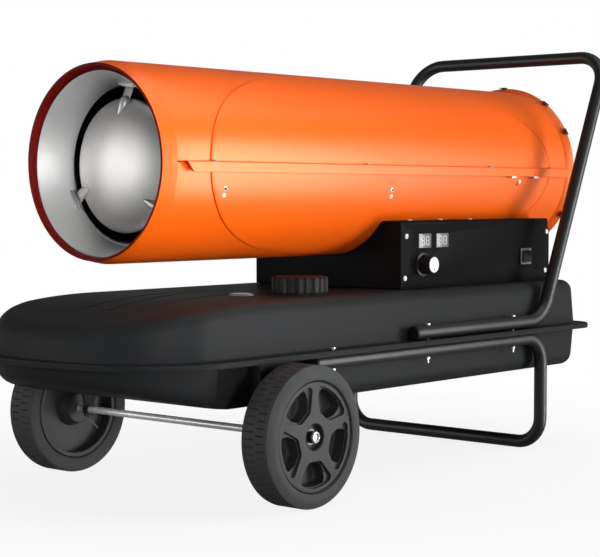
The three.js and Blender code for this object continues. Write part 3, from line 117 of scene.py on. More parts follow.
def drawn(name, points):
    """Starts a piece as one point and extrudes it from each place to the next. It stays in edit mode."""
    piece = placed(name, bpy.ops.mesh.primitive_plane_add, size=0.001, location=points[0])
    bpy.ops.object.mode_set(mode="EDIT")
    bpy.ops.mesh.select_mode(type="VERT")
    bpy.ops.mesh.select_all(action="SELECT")
    bpy.ops.mesh.merge(type="CENTER")
    for here, there in zip(points, points[1:]):
        bpy.ops.mesh.extrude_vertices_move(TRANSFORM_OT_translate={"value": there - here})
    return piece


def closed_up():
    """Merges doubled points, turns the faces outwards and leaves edit mode."""
    bpy.ops.mesh.select_all(action="SELECT")
    bpy.ops.mesh.remove_doubles(threshold=0.000002)
    bpy.ops.mesh.normals_make_consistent(inside=False)
    bpy.ops.object.mode_set(mode="OBJECT")


def turned(name, centre, axis, profile, steps):
    """Spins a profile of (radius, along) in millimetres about an axis through the centre, as on a lathe."""
    along = Vector([letter == axis for letter in "xyz"])
    out = Vector((0, 1, 0)) if axis == "x" else Vector((1, 0, 0))
    piece = drawn(name, [centre + (out * radius + along * place) / 1000 for radius, place in profile])
    bpy.ops.mesh.select_all(action="SELECT")
    bpy.ops.mesh.spin(steps=steps, angle=math.tau, center=centre, axis=along)
    closed_up()
    return piece


def only(piece):
    """Makes this piece the one that is selected and active."""
    bpy.ops.object.select_all(action="DESELECT")
    piece.select_set(True)
    bpy.context.view_layer.objects.active = piece


def shaped(piece, kind, test, *steps):
    """Does each step, an operator and its settings, on the points or faces that pass the test."""
    only(piece)
    bpy.ops.object.mode_set(mode="EDIT")
    bpy.ops.mesh.select_mode(type=kind)
    bpy.ops.mesh.select_all(action="DESELECT")
    mesh = bmesh.from_edit_mesh(piece.data)
    for part in {"VERT": mesh.verts, "FACE": mesh.faces}[kind]:
        if test(part):
            part.select_set(True)
    mesh.select_flush_mode()
    bmesh.update_edit_mesh(piece.data)
    for operator, settings in steps:
        operator(**settings)
    bpy.ops.object.mode_set(mode="OBJECT")


def worked(piece, kind, **settings):
    """Adds a modifier with its settings and applies it."""
    only(piece)
    modifier = piece.modifiers.new(kind.title(), kind)
    for name, value in settings.items():
        setattr(modifier, name, value)
    bpy.ops.object.modifier_apply(modifier=modifier.name)
    return piece


def softened(piece, width, segments=2, angle=35):
    """Rounds the piece's sharp edges to a radius in millimetres."""
    return worked(piece, "BEVEL", width=width / 1000, segments=segments, limit_method="ANGLE",
                  angle_limit=math.radians(angle), harden_normals=False, use_clamp_overlap=True)


def fitted(piece, body, finish, slot, *nodes, angle=32):
    """Gives a finished piece its shading and material, ties it to its body and hides its CAD nodes. The slot
    is not used.
    """
    only(piece)
    bpy.ops.object.shade_smooth_by_angle(angle=math.radians(angle))
    piece.data.materials.clear()
    piece.data.materials.append(finish)
    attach(piece, body)
    if nodes:
        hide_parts(*nodes)


def twin(piece, name, move):
    """A copy of a piece with its own mesh, moved by a matrix. A mirrored copy is turned right side out."""
    other = piece.copy()
    other.data = piece.data.copy()
    other.name = other.data.name = name
    bpy.context.collection.objects.link(other)
    other.data.transform(move)
    if move.determinant() < 0:
        other.data.flip_normals()
    return other


mirrored = Matrix.Diagonal((-1, 1, 1, 1))


def fitted_pair(piece, left_name, left_body, finish, slot, *left_nodes, angle=32):
    """Fits a piece of the right side and its mirrored copy, given what the copy is called and tied to."""
    fitted(twin(piece, left_name, mirrored), left_body, finish, slot, *left_nodes, angle=angle)
    fitted(piece, left_body.replace("left", "right"), finish, slot,
           *[node.replace("left", "right") for node in left_nodes], angle=angle)


axle_height = 101.283
hub = at(0, 0, axle_height)

# Mould release leaves faint lighter clouds about 40 mm wide, and the surface is pebbled at about 1 mm.
rubber = layered(
    "moulded carbon-filled rubber", Roughness=0.72, Specular_IOR_Level=0.2,
    tone=("Noise", {"Scale": 25, "Detail": 3}, "3A3B3C", "464748"),
    relief=("Noise", {"Scale": 900, "Detail": 2}, 0.25, 0.0003))

groove_steps = 8
tyre = turned("tyre_right", hub, "x", [
    (78.4, 226.5), (80, 223), (84, 221), (92, 220.3), (98.2, 221), (100.6, 222.8), (101.2, 225.4),
    (101.2, 226.4), (101.2, 242.5), (101.2, 244), (101.2, 247.5), (101.2, 249), (101.2, 261.5),
    (101.2, 263), (101.2, 266.4), (100.4, 268.6), (95.5, 270.9), (90.4, 272.7), (88.6, 273),
    (82, 273), (80.2, 272.2), (79, 270), (78.4, 266.5), (78.4, 226.5)], steps=60 * groove_steps)


def in_groove(point):
    """True for the middle of both tread rows at every eighth step of the spin. The two rows are staggered."""
    away = point.co - hub
    turn = round(math.degrees(math.atan2(away.y, away.z)) / (360 / 60 / groove_steps))
    half = 0 if away.x > 0.247 else groove_steps // 2
    in_row = 0.2482 < away.x < 0.2622 or 0.2258 < away.x < 0.2432
    return (turn + half) % groove_steps == 0 and math.hypot(away.y, away.z) > 0.1 and in_row


shaped(tyre, "VERT", in_groove,
       (bpy.ops.transform.resize, {"value": (1, 0.98, 0.98), "center_override": hub}))
fitted_pair(tyre, "tyre_left", "wheel_left", rubber, "tyre_rubber", "tyre_left", angle=24)

# ---------------------------------------------------------------------------------------------------------
# Rims
# Each is one polypropylene moulding: an outer band, five flat spokes that narrow towards it, and between them
# deep pockets with a low web beside each spoke. The dark grey plastic has a fine spark-eroded grain.


def outlined(name, points, push):
    """Draws a closed flat outline, fills it and pushes it to a thickness."""
    piece = drawn(name, [*points, points[0]])
    bpy.ops.mesh.select_all(action="SELECT")
    bpy.ops.mesh.remove_doubles(threshold=0.000002)
    bpy.ops.mesh.select_all(action="SELECT")
    bpy.ops.mesh.edge_face_add()
    bpy.ops.mesh.extrude_region_move(TRANSFORM_OT_translate={"value": push})
    closed_up()
    return piece


def cut(piece, *tools):
    """Cuts the tools out of a piece and removes them."""
    for tool in tools:
        worked(piece, "BOOLEAN", operation="DIFFERENCE", solver="EXACT", object=tool)
        bpy.data.objects.remove(tool)


def joined(piece, *others):
    """Makes one mesh of several."""
    only(piece)
    for other in others:
        other.select_set(True)
    bpy.ops.object.join()
    return piece


def rounded(corners, radius, steps=4):
    """A closed outline of (u, v) corners, each one rounded to the radius."""
    points = []
    for i, corner in enumerate(corners):
        corner, before = Vector(corner), Vector(corners[i - 1])
        after = Vector(corners[(i + 1) % len(corners)])
        into, away = (before - corner).normalized(), (after - corner).normalized()
        reach = min(radius / math.tan(into.angle(away) / 2),
                    0.45 * (before - corner).length, 0.45 * (after - corner).length)
        start, end = corner + into * reach, corner + away * reach
        for k in range(steps + 1):
            share = k / steps
            points.append(start * (1 - share) ** 2 + corner * 2 * share * (1 - share) + end * share ** 2)
    return points


# The mould's grain is about 0.8 mm wide. Handling leaves slightly shinier patches a few centimetres wide.
moulded_grey = layered(
    "spark-grained dark grey polypropylene", Roughness=0.52, Specular_IOR_Level=0.2,
    tone=("Noise", {"Scale": 30, "Detail": 2}, "303132", "383939"),
    gloss=("Noise", {"Scale": 30, "Detail": 2}, 0.45, 0.6), relief=("Voronoi", {"Scale": 1200}, 0.15, 0.0002))

rim = turned("wheel_rim_right", hub, "x", [
    (5.8, 220.4), (22, 220.4), (23.5, 222), (29.5, 240.8), (70.5, 240.8), (70.5, 224), (71.5, 223),
    (76.8, 223), (77.8, 224), (77.8, 268.4), (77, 269.6), (75.5, 270), (20, 270), (18.6, 268.8),
    (18.6, 260), (5.8, 260), (5.8, 220.4)], steps=96)
spoke_turn = math.radians(36)
tools = []
for depth, inner, edge, outer, spread, soft in (
        (5, (33.5, 9.5), ((37, 9.5), (67, 5)), 72, 27, 1),
        (24, (35.3, 8.4), ((39, 11.2), (53, 11), (63, 15)), 70.2, 19, 7)):
    # The shallow step leaves the spokes, and the deep pocket inside it leaves a low web beside each of them.
    side = [(away * math.cos(spoke_turn) + off * math.sin(spoke_turn),
             away * math.sin(spoke_turn) - off * math.cos(spoke_turn)) for away, off in edge]
    arc = [(outer * math.cos(math.radians(spread * k / 2)), outer * math.sin(math.radians(spread * k / 2)))
           for k in (2, 1, 0, -1, -2)]
    outline = rounded([inner, *side, *arc, *[(u, -v) for u, v in reversed(side)], (inner[0], -inner[1])], 5)
    for k in range(5):
        turn = math.radians(126 + 72 * k)
        points = [at(270 - depth, u * math.cos(turn) - v * math.sin(turn),
                     axle_height + u * math.sin(turn) + v * math.cos(turn)) for u, v in outline]
        tools.append(softened(outlined("pocket", points, Vector((0.04, 0, 0))), soft, 4, 60))
cut(rim, *tools)
softened(rim, 0.7, 2, 40)
fitted_pair(rim, "wheel_rim_left", "wheel_left", moulded_grey, "rim_plastic", "wheel_rim_left")

# ---------------------------------------------------------------------------------------------------------
# Axle, hub nuts and split pins
# A drawn steel rod, hexagon lock nuts with a washer in each hub's recess, and a bent wire pin inside each
# wheel. The nuts and washers are painted dark as the shade of the recess; the rest are zinc plated and
# passivated, which leaves a bright, slightly milky metal.

# Plating spangles are about 2 mm wide, and handling stains about 15 mm.
zinc = layered(
    "bright zinc-plated steel", Metallic=0.85, Roughness=0.3,
    tone=("Noise", {"Scale": 66, "Detail": 3}, "D4D6D7", "EAEBEB"),
    gloss=("Voronoi", {"Scale": 500}, 0.2, 0.36))

# Drawing leaves the polish uneven in streaks about 25 mm long, and the passivation is milky in 60 mm clouds.
# The rod's near-white colour is painted reflection: it stands in for the bright sheen of the metal under the
# tank.
rod_steel_painted_reflection = layered(
    "drawn steel rod painted white as reflection", Metallic=0.3, Roughness=0.28,
    tone=("Noise", {"Scale": 16, "Detail": 2}, "F0F0F0", "FBFBFB"),
    gloss=("Noise", {"Scale": 40, "Detail": 1}, 0.22, 0.34))
axle = turned("axle", hub, "x", [
    (0, -264.8), (4.4, -264.8), (5.5, -263.7), (5.5, 263.7), (4.4, 264.8), (0, 264.8)], steps=32)
fitted(axle, "heater", rod_steel_painted_reflection, "zinc", "axle")


def rod(centre, axis, radius, start, end, steps=32):
    """A plain round cutter along an axis through the centre."""
    return turned("rod", centre, axis, [(0, start), (radius, start), (radius, end), (0, end)], steps)


washer = turned("hub_nut_right", hub, "x", [
    (5.9, 260.1), (11.4, 260.1), (11.8, 260.4), (11.8, 261.6), (11.4, 261.9), (5.9, 261.9), (5.9, 260.1)], 48)
hexagon = placed("hexagon", bpy.ops.mesh.primitive_cylinder_add, vertices=6, radius=0.0096, depth=0.0076,
                 location=hub + Vector((0.2657, 0, 0)), rotation=(0, math.radians(90), 0))
cut(softened(hexagon, 0.8), rod(hub, "x", 5.9, 255, 275))
collar = turned("nut_collar_right", hub, "x", [
    (4.6, 269.3), (8.2, 269.3), (8.2, 271), (7.6, 272.2), (6.2, 272.6), (4.8, 271.8), (4.6, 269.3)], 32)
thread_end = turned("thread_end", hub, "x", [(0, 264), (4.6, 264), (4.6, 269.4), (3.8, 270), (0, 270)], 32)
# The nut and washer are painted dark as painted shade of the hub's recess, in blotches about 4 mm wide, which
# are darker and less even.
nut_steel_painted_shade = layered(
    "steel painted dark as recess shade", Metallic=0.9, Roughness=0.35,
    tone=("Noise", {"Scale": 250, "Detail": 2}, "55565A", "35363A"),
    gloss=("Noise", {"Scale": 250, "Detail": 2}, 0.25, 0.45))
fitted_pair(joined(washer, hexagon), "hub_nut_left", "wheel_left", nut_steel_painted_shade, "zinc", "hub_nut_left")
fitted_pair(joined(collar, thread_end), "nut_collar_left", "wheel_left", zinc, "zinc")


def bent_bar(name, corners, radii, radius, sides=32, bend_steps=12):
    """A round bar: a circle pushed along each straight run and spun round each bend. Sizes in millimetres."""
    ahead = (corners[1] - corners[0]).normalized()
    piece = placed(name, bpy.ops.mesh.primitive_circle_add, vertices=sides, radius=radius / 1000,
                   fill_type="NGON", location=corners[0], rotation=ahead.to_track_quat("Z", "Y").to_euler())
    bpy.ops.object.mode_set(mode="EDIT")
    bpy.ops.mesh.select_mode(type="FACE")
    bpy.ops.mesh.select_all(action="SELECT")
    here = corners[0]
    for i in range(1, len(corners) - 1):
        into = (corners[i] - corners[i - 1]).normalized()
        away = (corners[i + 1] - corners[i]).normalized()
        turn = into.angle(away)
        reach = radii[i - 1] / 1000 * math.tan(turn / 2)
        start = corners[i] - into * reach
        inner = (away - into * away.dot(into)).normalized()
        bpy.ops.mesh.extrude_region_move(TRANSFORM_OT_translate={"value": start - here})
        bpy.ops.mesh.spin(steps=bend_steps, angle=turn, center=start + inner * radii[i - 1] / 1000,
                          axis=inner.cross(into))
        here = corners[i] + away * reach
    bpy.ops.mesh.extrude_region_move(TRANSFORM_OT_translate={"value": corners[-1] - here})
    closed_up()
    return piece


pin = bent_bar("split_pin_right", [
    at(177, -1, 73.5), at(199, -1, 90), at(207, -1, 96), at(210, -1, 108), at(214.5, -1, 113),
    at(216.5, -1, 108.5), at(211, -1, 106.5)], [2, 4, 3, 2, 2], 0.9, 10, 5)
fitted_pair(pin, "split_pin_left", "heater", zinc, "zinc")

# ---------------------------------------------------------------------------------------------------------
# Fuel tank
# Two halves are deep drawn from steel sheet, 2.2 mm above and 1.5 mm below, with a curved front. They are
# welded round their flange, which is rolled into a bead, and powder coated black. The top slopes down to
# the front and has three pressed grooves for stiffness.

tank_half, tank_front, tank_rear, tank_bulge = 196, -210, 815, 60
tank_top, tank_bottom, flange_height = 288, 137, 210
front_corner, rear_corner, flange_side, flange_front, flange_rear = 80, 25, 34, 23, 8


def tank_ring(inset, reach, height, sides=14):
    """The tank's outline seen from above, drawn in by inset or moved out to the flange's edge by reach."""
    half = tank_half - inset + flange_side * reach
    front, rear = tank_front + inset - flange_front * reach, tank_rear - inset + flange_rear * reach
    radii = max(front_corner - inset + 10 * reach, 1.5), max(rear_corner - inset + 20 * reach, 1.5)
    corners = [
        (half - radii[0], front + radii[0], radii[0], -1), (half - radii[1], rear - radii[1], radii[1], 0),
        (radii[1] - half, rear - radii[1], radii[1], 1), (radii[0] - half, front + radii[0], radii[0], 2)]
    flat = []
    for x, y, radius, quarter in corners:
        for k in range(sides + 1):
            turn = (quarter + k / sides) * math.pi / 2
            flat.append((x + radius * math.cos(turn), y + radius * math.sin(turn)))
        next_x, next_y = corners[(quarter + 2) % 4][:2]
        if quarter in (-1, 1):
            flat += [(flat[-1][0], y + (next_y - y) * k / 40) for k in range(1, 40)]
        else:
            flat += [(x + (next_x - x) * k / 24, flat[-1][1]) for k in range(1, 24)]
    middle = (front + rear) / 2
    ring = []
    for x, y in flat:
        y -= tank_bulge * (1 - min(abs(x) / half, 1) ** 2) * max(middle - y, 0) / (middle - front)
        ring.append(at(x, y, height(y)))
    return ring


def crown(y):
    """The height of the tank's top, which slopes down to the front."""
    return tank_top - 28 * (max(-10 - y, 0) / 240) ** 2.2


def keel(y):
    """The height of the tank's bottom, which rises to the front."""
    return tank_bottom + 41 * (max(-60 - y, 0) / 200) ** 1.3


def mesh_piece(name, mesh):
    """Makes a piece of a mesh that was built point by point."""
    piece = bpy.data.objects.new(name, bpy.data.meshes.new(name))
    mesh.to_mesh(piece.data)
    bpy.context.collection.objects.link(piece)
    return piece


def pressed(name, rings):
    """A sheet drawn over rings of points, closed across the first and the last."""
    mesh = bmesh.new()
    rows = [[mesh.verts.new(point) for point in ring] for ring in rings]
    for low, high in zip(rows, rows[1:]):
        for i in range(len(low)):
            mesh.faces.new((low[i - 1], low[i], high[i], high[i - 1]))
    mesh.faces.new(rows[-1])
    mesh.faces.new(list(reversed(rows[0])))
    piece = mesh_piece(name, mesh)
    only(piece)
    bpy.ops.object.mode_set(mode="EDIT")
    closed_up()
    return piece


def level(height):
    """The same height all the way round."""
    return lambda y: height


def rounding(height, drop, radius, steps=7):
    """Rings from a wall over a rounded edge to the flat: (inset, height) for quarter-circle steps."""
    turns = [k / steps * math.pi / 2 for k in range(steps + 1)]
    return [(4 + radius * (1 - math.cos(turn)), lambda y, turn=turn: height(y) - drop * (1 - math.sin(turn)))
            for turn in turns]


# The powder flows out to a skin with ripples about 1.6 mm wide, and dust lies in clouds about 150 mm wide.
black_paint = layered(
    "black powder coat on drawn steel", Roughness=0.46, Specular_IOR_Level=0.05,
    tone=("Noise", {"Scale": 7, "Detail": 4}, "242526", "2C2D2E"),
    gloss=("Noise", {"Scale": 7, "Detail": 4}, 0.42, 0.54),
    relief=("Noise", {"Scale": 620, "Detail": 2}, 0.12, 0.0003))

lip = [(1, 210.2), (0.988, 212), (0.955, 213.3), (0.91, 213.5), (0.86, 212.9), (0.8, 212), (0.74, 211.6),
       (0.6, 211.6), (0.3, 211.6), (0.12, 211.9), (0.04, 213.4), (0, 217)]
rings = [tank_ring(0, reach, level(height)) for reach, height in lip]
rings += [tank_ring(inset, 0, height) for inset, height in rounding(crown, 20, 20)]
rings += [tank_ring(24 + (150 * k / 8), 0, crown) for k in range(1, 9)]
upper = worked(pressed("tank_upper", rings), "SOLIDIFY", thickness=0.0022, offset=-1)
grooves = [
    [(-26, -171), (-30, -93), (-66, 28), (-97, 164)],
    [(31, -172), (7, -64), (-50, 77), (-47, 170)],
    [(83, -174), (77, -92), (36, 33), (20, 138)]]
tools = []
for route in grooves:
    # A smooth curve through the places, 2 mm above the sheet. The cutter, 3.8 mm in radius, sinks in 1.8 mm.
    route = [Vector(point) for point in route]
    ends = [route[0] * 2 - route[1], *route, route[-1] * 2 - route[-2]]
    curve = bpy.data.curves.new("groove", "CURVE")
    curve.dimensions = "3D"
    curve.bevel_depth = 0.0038
    curve.bevel_resolution = 4
    curve.use_fill_caps = True
    path = []
    for p0, p1, p2, p3 in zip(ends, ends[1:], ends[2:], ends[3:]):
        for k in range(10):
            t = k / 10
            path.append(0.5 * (2 * p1 + (p2 - p0) * t + (2 * p0 - 5 * p1 + 4 * p2 - p3) * t ** 2
                               + (3 * p1 - p0 - 3 * p2 + p3) * t ** 3))
    path.append(ends[-2])
    spline = curve.splines.new("POLY")
    spline.points.add(len(path) - 1)
    for point, (x, y) in zip(spline.points, path):
        point.co = (*at(x, y, crown(y) + 2), 1)
    tool = bpy.data.objects.new("groove", curve)
    bpy.context.collection.objects.link(tool)
    only(tool)
    bpy.ops.object.convert(target="MESH")
    tools.append(bpy.context.object)
filler, gauge = at(109, 153, tank_top), at(70, 65, tank_top)
tools += [rod(centre, "z", radius, -12, 8, 48)
          for centre, radius in ((filler, 34.3), (gauge, 8.3), (at(0, 487, tank_top), 3.8))]
cut(upper, *tools)
fitted(upper, "heater", black_paint, "tank_black", "tank_upper", angle=28)

tray = [tank_ring(0, 0, level(208))]
tray += [tank_ring(inset, 0, height) for inset, height in rounding(keel, -22, 22)]
tray += [tank_ring(26 + 150 * k / 8, 0, keel) for k in range(1, 9)]
lower = pressed("tank_lower", tray)
for sign in (-1, 1):
    arch = placed("wheel_arch", bpy.ops.mesh.primitive_cube_add, size=1, location=at(sign * 185, 0, 160),
                  scale=(0.05, 0.236, 0.12))
    cut(lower, softened(arch, 16, 4))
worked(lower, "SOLIDIFY", thickness=0.0015, offset=-1)
lip = [(1, 209.8), (1, 206.4), (0.985, 205.2), (0.955, 204.8), (0.925, 205.2), (0.91, 206.2), (0.9, 207.2),
       (0.86, 207.9), (0.3, 207.9), (0.05, 206.4), (0, 204), (-0.2, 204), (-0.2, 209.4)]
lower = joined(lower, pressed("flange", [tank_ring(0, reach, level(height)) for reach, height in lip]))
fitted(lower, "heater", black_paint, "tank_black", "tank_lower", angle=28)


def coated(finish, *nodes):
    """Gives CAD nodes that keep their shape their finish."""
    for name in nodes:
        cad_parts[name].data.materials[0] = finish


coated(black_paint, "filler_neck")
coated(zinc, "drain_plug")

# ---------------------------------------------------------------------------------------------------------
# Axle brackets
# Each is a 3 mm steel plate, narrowed down to an eye round the axle, with a folded foot spot welded under the
# tank. They are powder coated with the tank.


def block(name, low, high):
    """A cube at its size and place, between two corners in millimetres of (x, y, z)."""
    low, high = at(*low), at(*high)
    return placed(name, bpy.ops.mesh.primitive_cube_add, size=1, location=(low + high) / 2, scale=high - low)


edge = rounded([(-36, 206.4), (-36, 196), (-10, 112), (-10, 90), (10, 90), (10, 112), (36, 196),
                (36, 206.4)], 7)
plate = outlined("axle_bracket", [at(196, y, z) for y, z in edge], Vector((0.003, 0, 0)))
cut(plate, rod(hub, "x", 5.9, 190, 205))
foot = block("foot", (177, -36, 203.4), (197.5, 36, 206.4))
boss = turned("boss", hub, "x", [(5.9, 195), (9, 195), (9, 203), (8.4, 203.6), (5.9, 203.6), (5.9, 195)], 32)
bracket = joined(softened(plate, 0.4), softened(foot, 0.6), boss)
fitted_pair(bracket, "axle_bracket", "heater", black_paint, "frame_black", "axle_bracket_left")

# ---------------------------------------------------------------------------------------------------------
# Filler: strainer and fuel cap
# A woven brass strainer stands in the steel neck. The cap is moulded from glass-filled nylon, with twenty
# grip ribs round its side and a shallow dish in its top, and it screws onto the neck.

# The weave's wires lie 1.2 mm apart, and the metal is tarnished in patches about 20 mm wide.
brass = layered(
    "woven brass gauze", Metallic=1.0, Roughness=0.4,
    tone=("Noise", {"Scale": 50, "Detail": 3}, "B8923F", "8A6A30"),
    relief=("Wave", {"Scale": 130, "bands_direction": "Z"}, 0.4, 0.0004))
coated(brass, "filler_strainer")

# Glass fibres leave a faint mottle about 3 mm wide, and the moulded skin is finely pitted.
nylon = layered(
    "black glass-filled nylon", Roughness=0.42, Specular_IOR_Level=0.12,
    tone=("Noise", {"Scale": 330, "Detail": 3}, "161617", "1F1F20"),
    relief=("Noise", {"Scale": 1400}, 0.15, 0.0002))

cap = turned("fuel_cap", filler, "z", [
    (36.5, 2.4), (39.6, 2.4), (40.2, 3.4), (40.2, 6), (40.2, 25), (39, 27), (36.5, 28), (33, 28),
    (31.5, 26.8), (12, 26.4), (0, 26.4), (0, 22.5), (36.5, 22.5), (36.5, 2.4)], steps=120)


def on_rib(point):
    """True for three of every six columns of points on the cap's side."""
    away = point.co - filler
    column = round(math.degrees(math.atan2(away.y, away.x)) / 3)
    return column % 6 in (0, 1, 2) and math.hypot(away.x, away.y) > 0.0388 and away.z > 0.003


shaped(cap, "VERT", on_rib,
       (bpy.ops.transform.resize, {"value": (1.066, 1.066, 1), "center_override": filler}))
softened(cap, 0.5, 2, 30)
fitted(cap, "fuel_cap", nylon, "black_plastic", "fuel_cap")

# ---------------------------------------------------------------------------------------------------------
# Fuel gauge
# A grey plastic body with a raised bezel, a pale dial with an arc of marks, a white pointer that the float
# arm turns, and a clear acrylic window pressed into the bezel.

# The grey pigment is slightly uneven over about 8 mm, and the polish varies over about 3 mm.
grey_plastic = layered(
    "satin grey ABS", Roughness=0.3, Specular_IOR_Level=0.4,
    tone=("Noise", {"Scale": 125}, "5C5E5F", "686A6B"), gloss=("Noise", {"Scale": 330}, 0.24, 0.36))

# The white is faintly yellowed in patches about 10 mm wide, under a moulded skin with 1 mm ripples.
white_plastic = layered(
    "white ABS", Roughness=0.35,
    tone=("Noise", {"Scale": 100}, "F2F1EE", "E6E4DE"), relief=("Noise", {"Scale": 1000}, 0.1, 0.0002))

# Wiping leaves fine haze in streaks about 12 mm long.
clear = layered(
    "clear acrylic", Roughness=0.03, Transmission_Weight=1.0, IOR=1.49,
    gloss=("Noise", {"Scale": 80, "Detail": 4}, 0.01, 0.08))

body = turned("gauge_body", gauge, "z", [
    (0, -28), (7.9, -28), (7.9, 0.3), (17.6, 0.3), (18.4, 0.7), (18.5, 2.6), (17.9, 3.7), (16.6, 4.1),
    (15.3, 3.8), (14.9, 3.2), (14.9, 2), (1.5, 2), (1.5, 3.4), (0, 3.4), (0, -28)], steps=48)
ticks = []
for k in range(9):
    turn = math.radians(-20 + 27.5 * k)
    tick = placed("gauge_marks", bpy.ops.mesh.primitive_cube_add, size=1,
                  location=gauge + Vector((0.0125 * math.cos(turn), 0.0125 * math.sin(turn), 0.0021)),
                  rotation=(0, 0, turn), scale=(0.0036 if k % 2 == 0 else 0.0022, 0.0008, 0.0004))
    ticks.append(softened(tick, 0.1, 1))
fitted(body, "heater", grey_plastic, "grey_plastic", "gauge_body")
fitted(joined(*ticks), "heater", nylon, "black_plastic")
window = turned("gauge_window", gauge, "z", [
    (0, 3.5), (14.8, 3.5), (14.8, 3.7), (12, 3.9), (6, 4), (0, 4)], steps=48)
fitted(window, "heater", clear, "display_window")
coated(white_plastic, "gauge_pointer")
coated(brass, "gauge_float")

# ---------------------------------------------------------------------------------------------------------
# Leg frame, handle and end plugs
# Each is one 22 mm steel tube of 1.5 mm wall, bent cold and powder coated black. The leg frame runs under the
# tank's flange, down to the floor and across, and the handle on top of the flange, up and across behind.

# The powder's ripples are about 1.2 mm wide, and hands polish patches about 60 mm long.
tube_paint = layered(
    "satin black powder coat on tube", Roughness=0.4, Specular_IOR_Level=0.4,
    tone=("Noise", {"Scale": 16, "Detail": 3}, "1E1E1E", "262627"),
    gloss=("Noise", {"Scale": 16, "Detail": 3}, 0.32, 0.46),
    relief=("Noise", {"Scale": 800, "Detail": 2}, 0.12, 0.0003))

tube_x, tube_radius = 209, 11
under, over = flange_height - 3.3 - tube_radius, flange_height + 3.3 + tube_radius
leg_y, leg_bend = 671, 45
leg = bent_bar("rear_leg_frame", [
    at(-tube_x, 70, under), at(-tube_x, leg_y, under), at(-tube_x, leg_y, 11), at(tube_x, leg_y, 11),
    at(tube_x, leg_y, under), at(tube_x, 70, under)], [leg_bend] * 4, tube_radius)
handle = bent_bar("handle_bar", [
    at(-tube_x, 311, over), at(-tube_x, 673, over), at(-tube_x, 882.2, 688.2), at(tube_x, 882.2, 688.2),
    at(tube_x, 673, over), at(tube_x, 311, over)], [60, 55, 55, 60], tube_radius)
fitted(leg, "heater", tube_paint, "frame_black", "rear_leg_frame")
fitted(handle, "heater", tube_paint, "frame_black", "handle_bar")
for name, y, z in (("frame_plug", 70, under), ("handle_plug", 311, over)):
    # Only the plug's rounded head shows. It covers the end of the tube.
    plug = turned(name + "_right", at(tube_x, y, z), "y", [
        (0, -5.1), (9.6, -5.1), (10.6, -4.6), (11, -3.7), (11, -0.1), (9.2, 0)], steps=32)
    fitted_pair(plug, name + "_left", "heater", nylon, "black_plastic", name + "_left")

# ---------------------------------------------------------------------------------------------------------
# Through bolts
# Zinc-plated M6 hexagon bolts clamp the tubes and the flange together, three on a side. Their heads are on
# top, and under the frame tube a nut sits on the thread's end.

for side, k, y, top in [(s, k, y, t) for s in ("left", "right") for k, y, t in (
        (1, 112, 213.5), (2, 345, over + tube_radius), (3, 585, over + tube_radius))]:
    centre = at(-tube_x if side == "left" else tube_x, y, 0)
    foot = under - tube_radius
    bolt = turned(f"bolt_{side}_{k}", centre, "z", [
        (0, 175), (1.6, 175), (2.1, 175.6), (2.1, foot - 2), (1.4, foot - 1), (1.4, top), (4.2, top),
        (4.2, top + 0.4), (1.6, top + 0.5), (0, top + 0.5)], 24)
    heads = [softened(placed(
        "hexagon", bpy.ops.mesh.primitive_cylinder_add, vertices=6, radius=0.0042, depth=(high - low) / 1000,
        location=centre + Vector((0, 0, (low + high) / 2000))), 0.5)
        for low, high in ((foot - 2.7, foot - 0.1), (top + 0.3, top + 2.4))]
    fitted(joined(bolt, *heads), "heater", zinc, "zinc", f"through_bolt_{side}_{k}")

# ---------------------------------------------------------------------------------------------------------
# Control box
# Folded from 1.5 mm steel sheet and painted black, it is screwed to the tank and cut to the shell's curve at
# front and rear. A narrow top strip beside the shell carries three self-tapping screws.

# The enamel has orange-peel ripples about 2.5 mm wide, and a film of dust in clouds about 120 mm wide.
bare_black = layered(
    "black semi-gloss stove enamel", Roughness=0.3, Specular_IOR_Level=0.01,
    tone=("Noise", {"Scale": 8, "Detail": 4}, "151515", "1A1A1B"),
    gloss=("Noise", {"Scale": 8, "Detail": 4}, 0.24, 0.36),
    relief=("Noise", {"Scale": 400, "Detail": 1}, 0.1, 0.0003))

shell_axis = at(0, 0, 485)
box = block("control_box", (-155, 343, 288.3), (155, 777, 397))
softened(box, 3, 3)
cut(box, rod(shell_axis, "y", 147.2, 300, 820, 96))
worked(box, "SOLIDIFY", thickness=0.0015, offset=-1)
cut(box, block("opening", (148, 351, 296.3), (160, 769, 384)),
    block("pipe_hole", (-6, 480, 280), (6, 494, 294)), block("gland_hole", (-109, 770, 316), (-91, 780, 334)))
fitted(box, "heater", bare_black, "box_black", "control_box")

strip = block("top_strip", (118, 344.5, 397), (154, 775.5, 397.6))
fitted(softened(strip, 0.25), "heater", bare_black, "box_black")


def screw_head(name, centre, axis, radius, rise, slot_turn):
    """A domed screw head with a cross recess, standing on the sheet at its centre."""
    head = turned(name, centre, axis, [
        (0, -0.2), (radius * 0.96, -0.2), (radius, 0.25), (radius * 0.9, rise * 0.55),
        (radius * 0.62, rise * 0.86), (radius * 0.3, rise * 0.98), (0, rise)], 24)
    out = Vector([letter == axis for letter in "xyz"])
    for k in range(2):
        blade = placed("blade", bpy.ops.mesh.primitive_cube_add, size=0.001, location=(0, 0, 0),
                       scale=(radius * 1.1, radius * 0.22, rise * 0.9))
        blade.data.transform(Matrix.Translation(centre + out * rise / 1000)
                             @ out.to_track_quat("Z", "Y").to_matrix().to_4x4()
                             @ Matrix.Rotation(math.radians(slot_turn + 90 * k), 4, "Z"))
        cut(head, blade)
    return head


for k, y in enumerate((384, 468, 552)):
    fitted(screw_head(f"strip_screw_{k + 1}", at(143, y, 397.6), "z", 4.4, 2.4, 20 + 25 * k),
           "heater", zinc, "zinc")

# ---------------------------------------------------------------------------------------------------------
# Control panel
# A flat painted plate with its upper rear corner rounded, cut out for the displays, the knob and the switch.
# Four white domed screws hold it to the box.

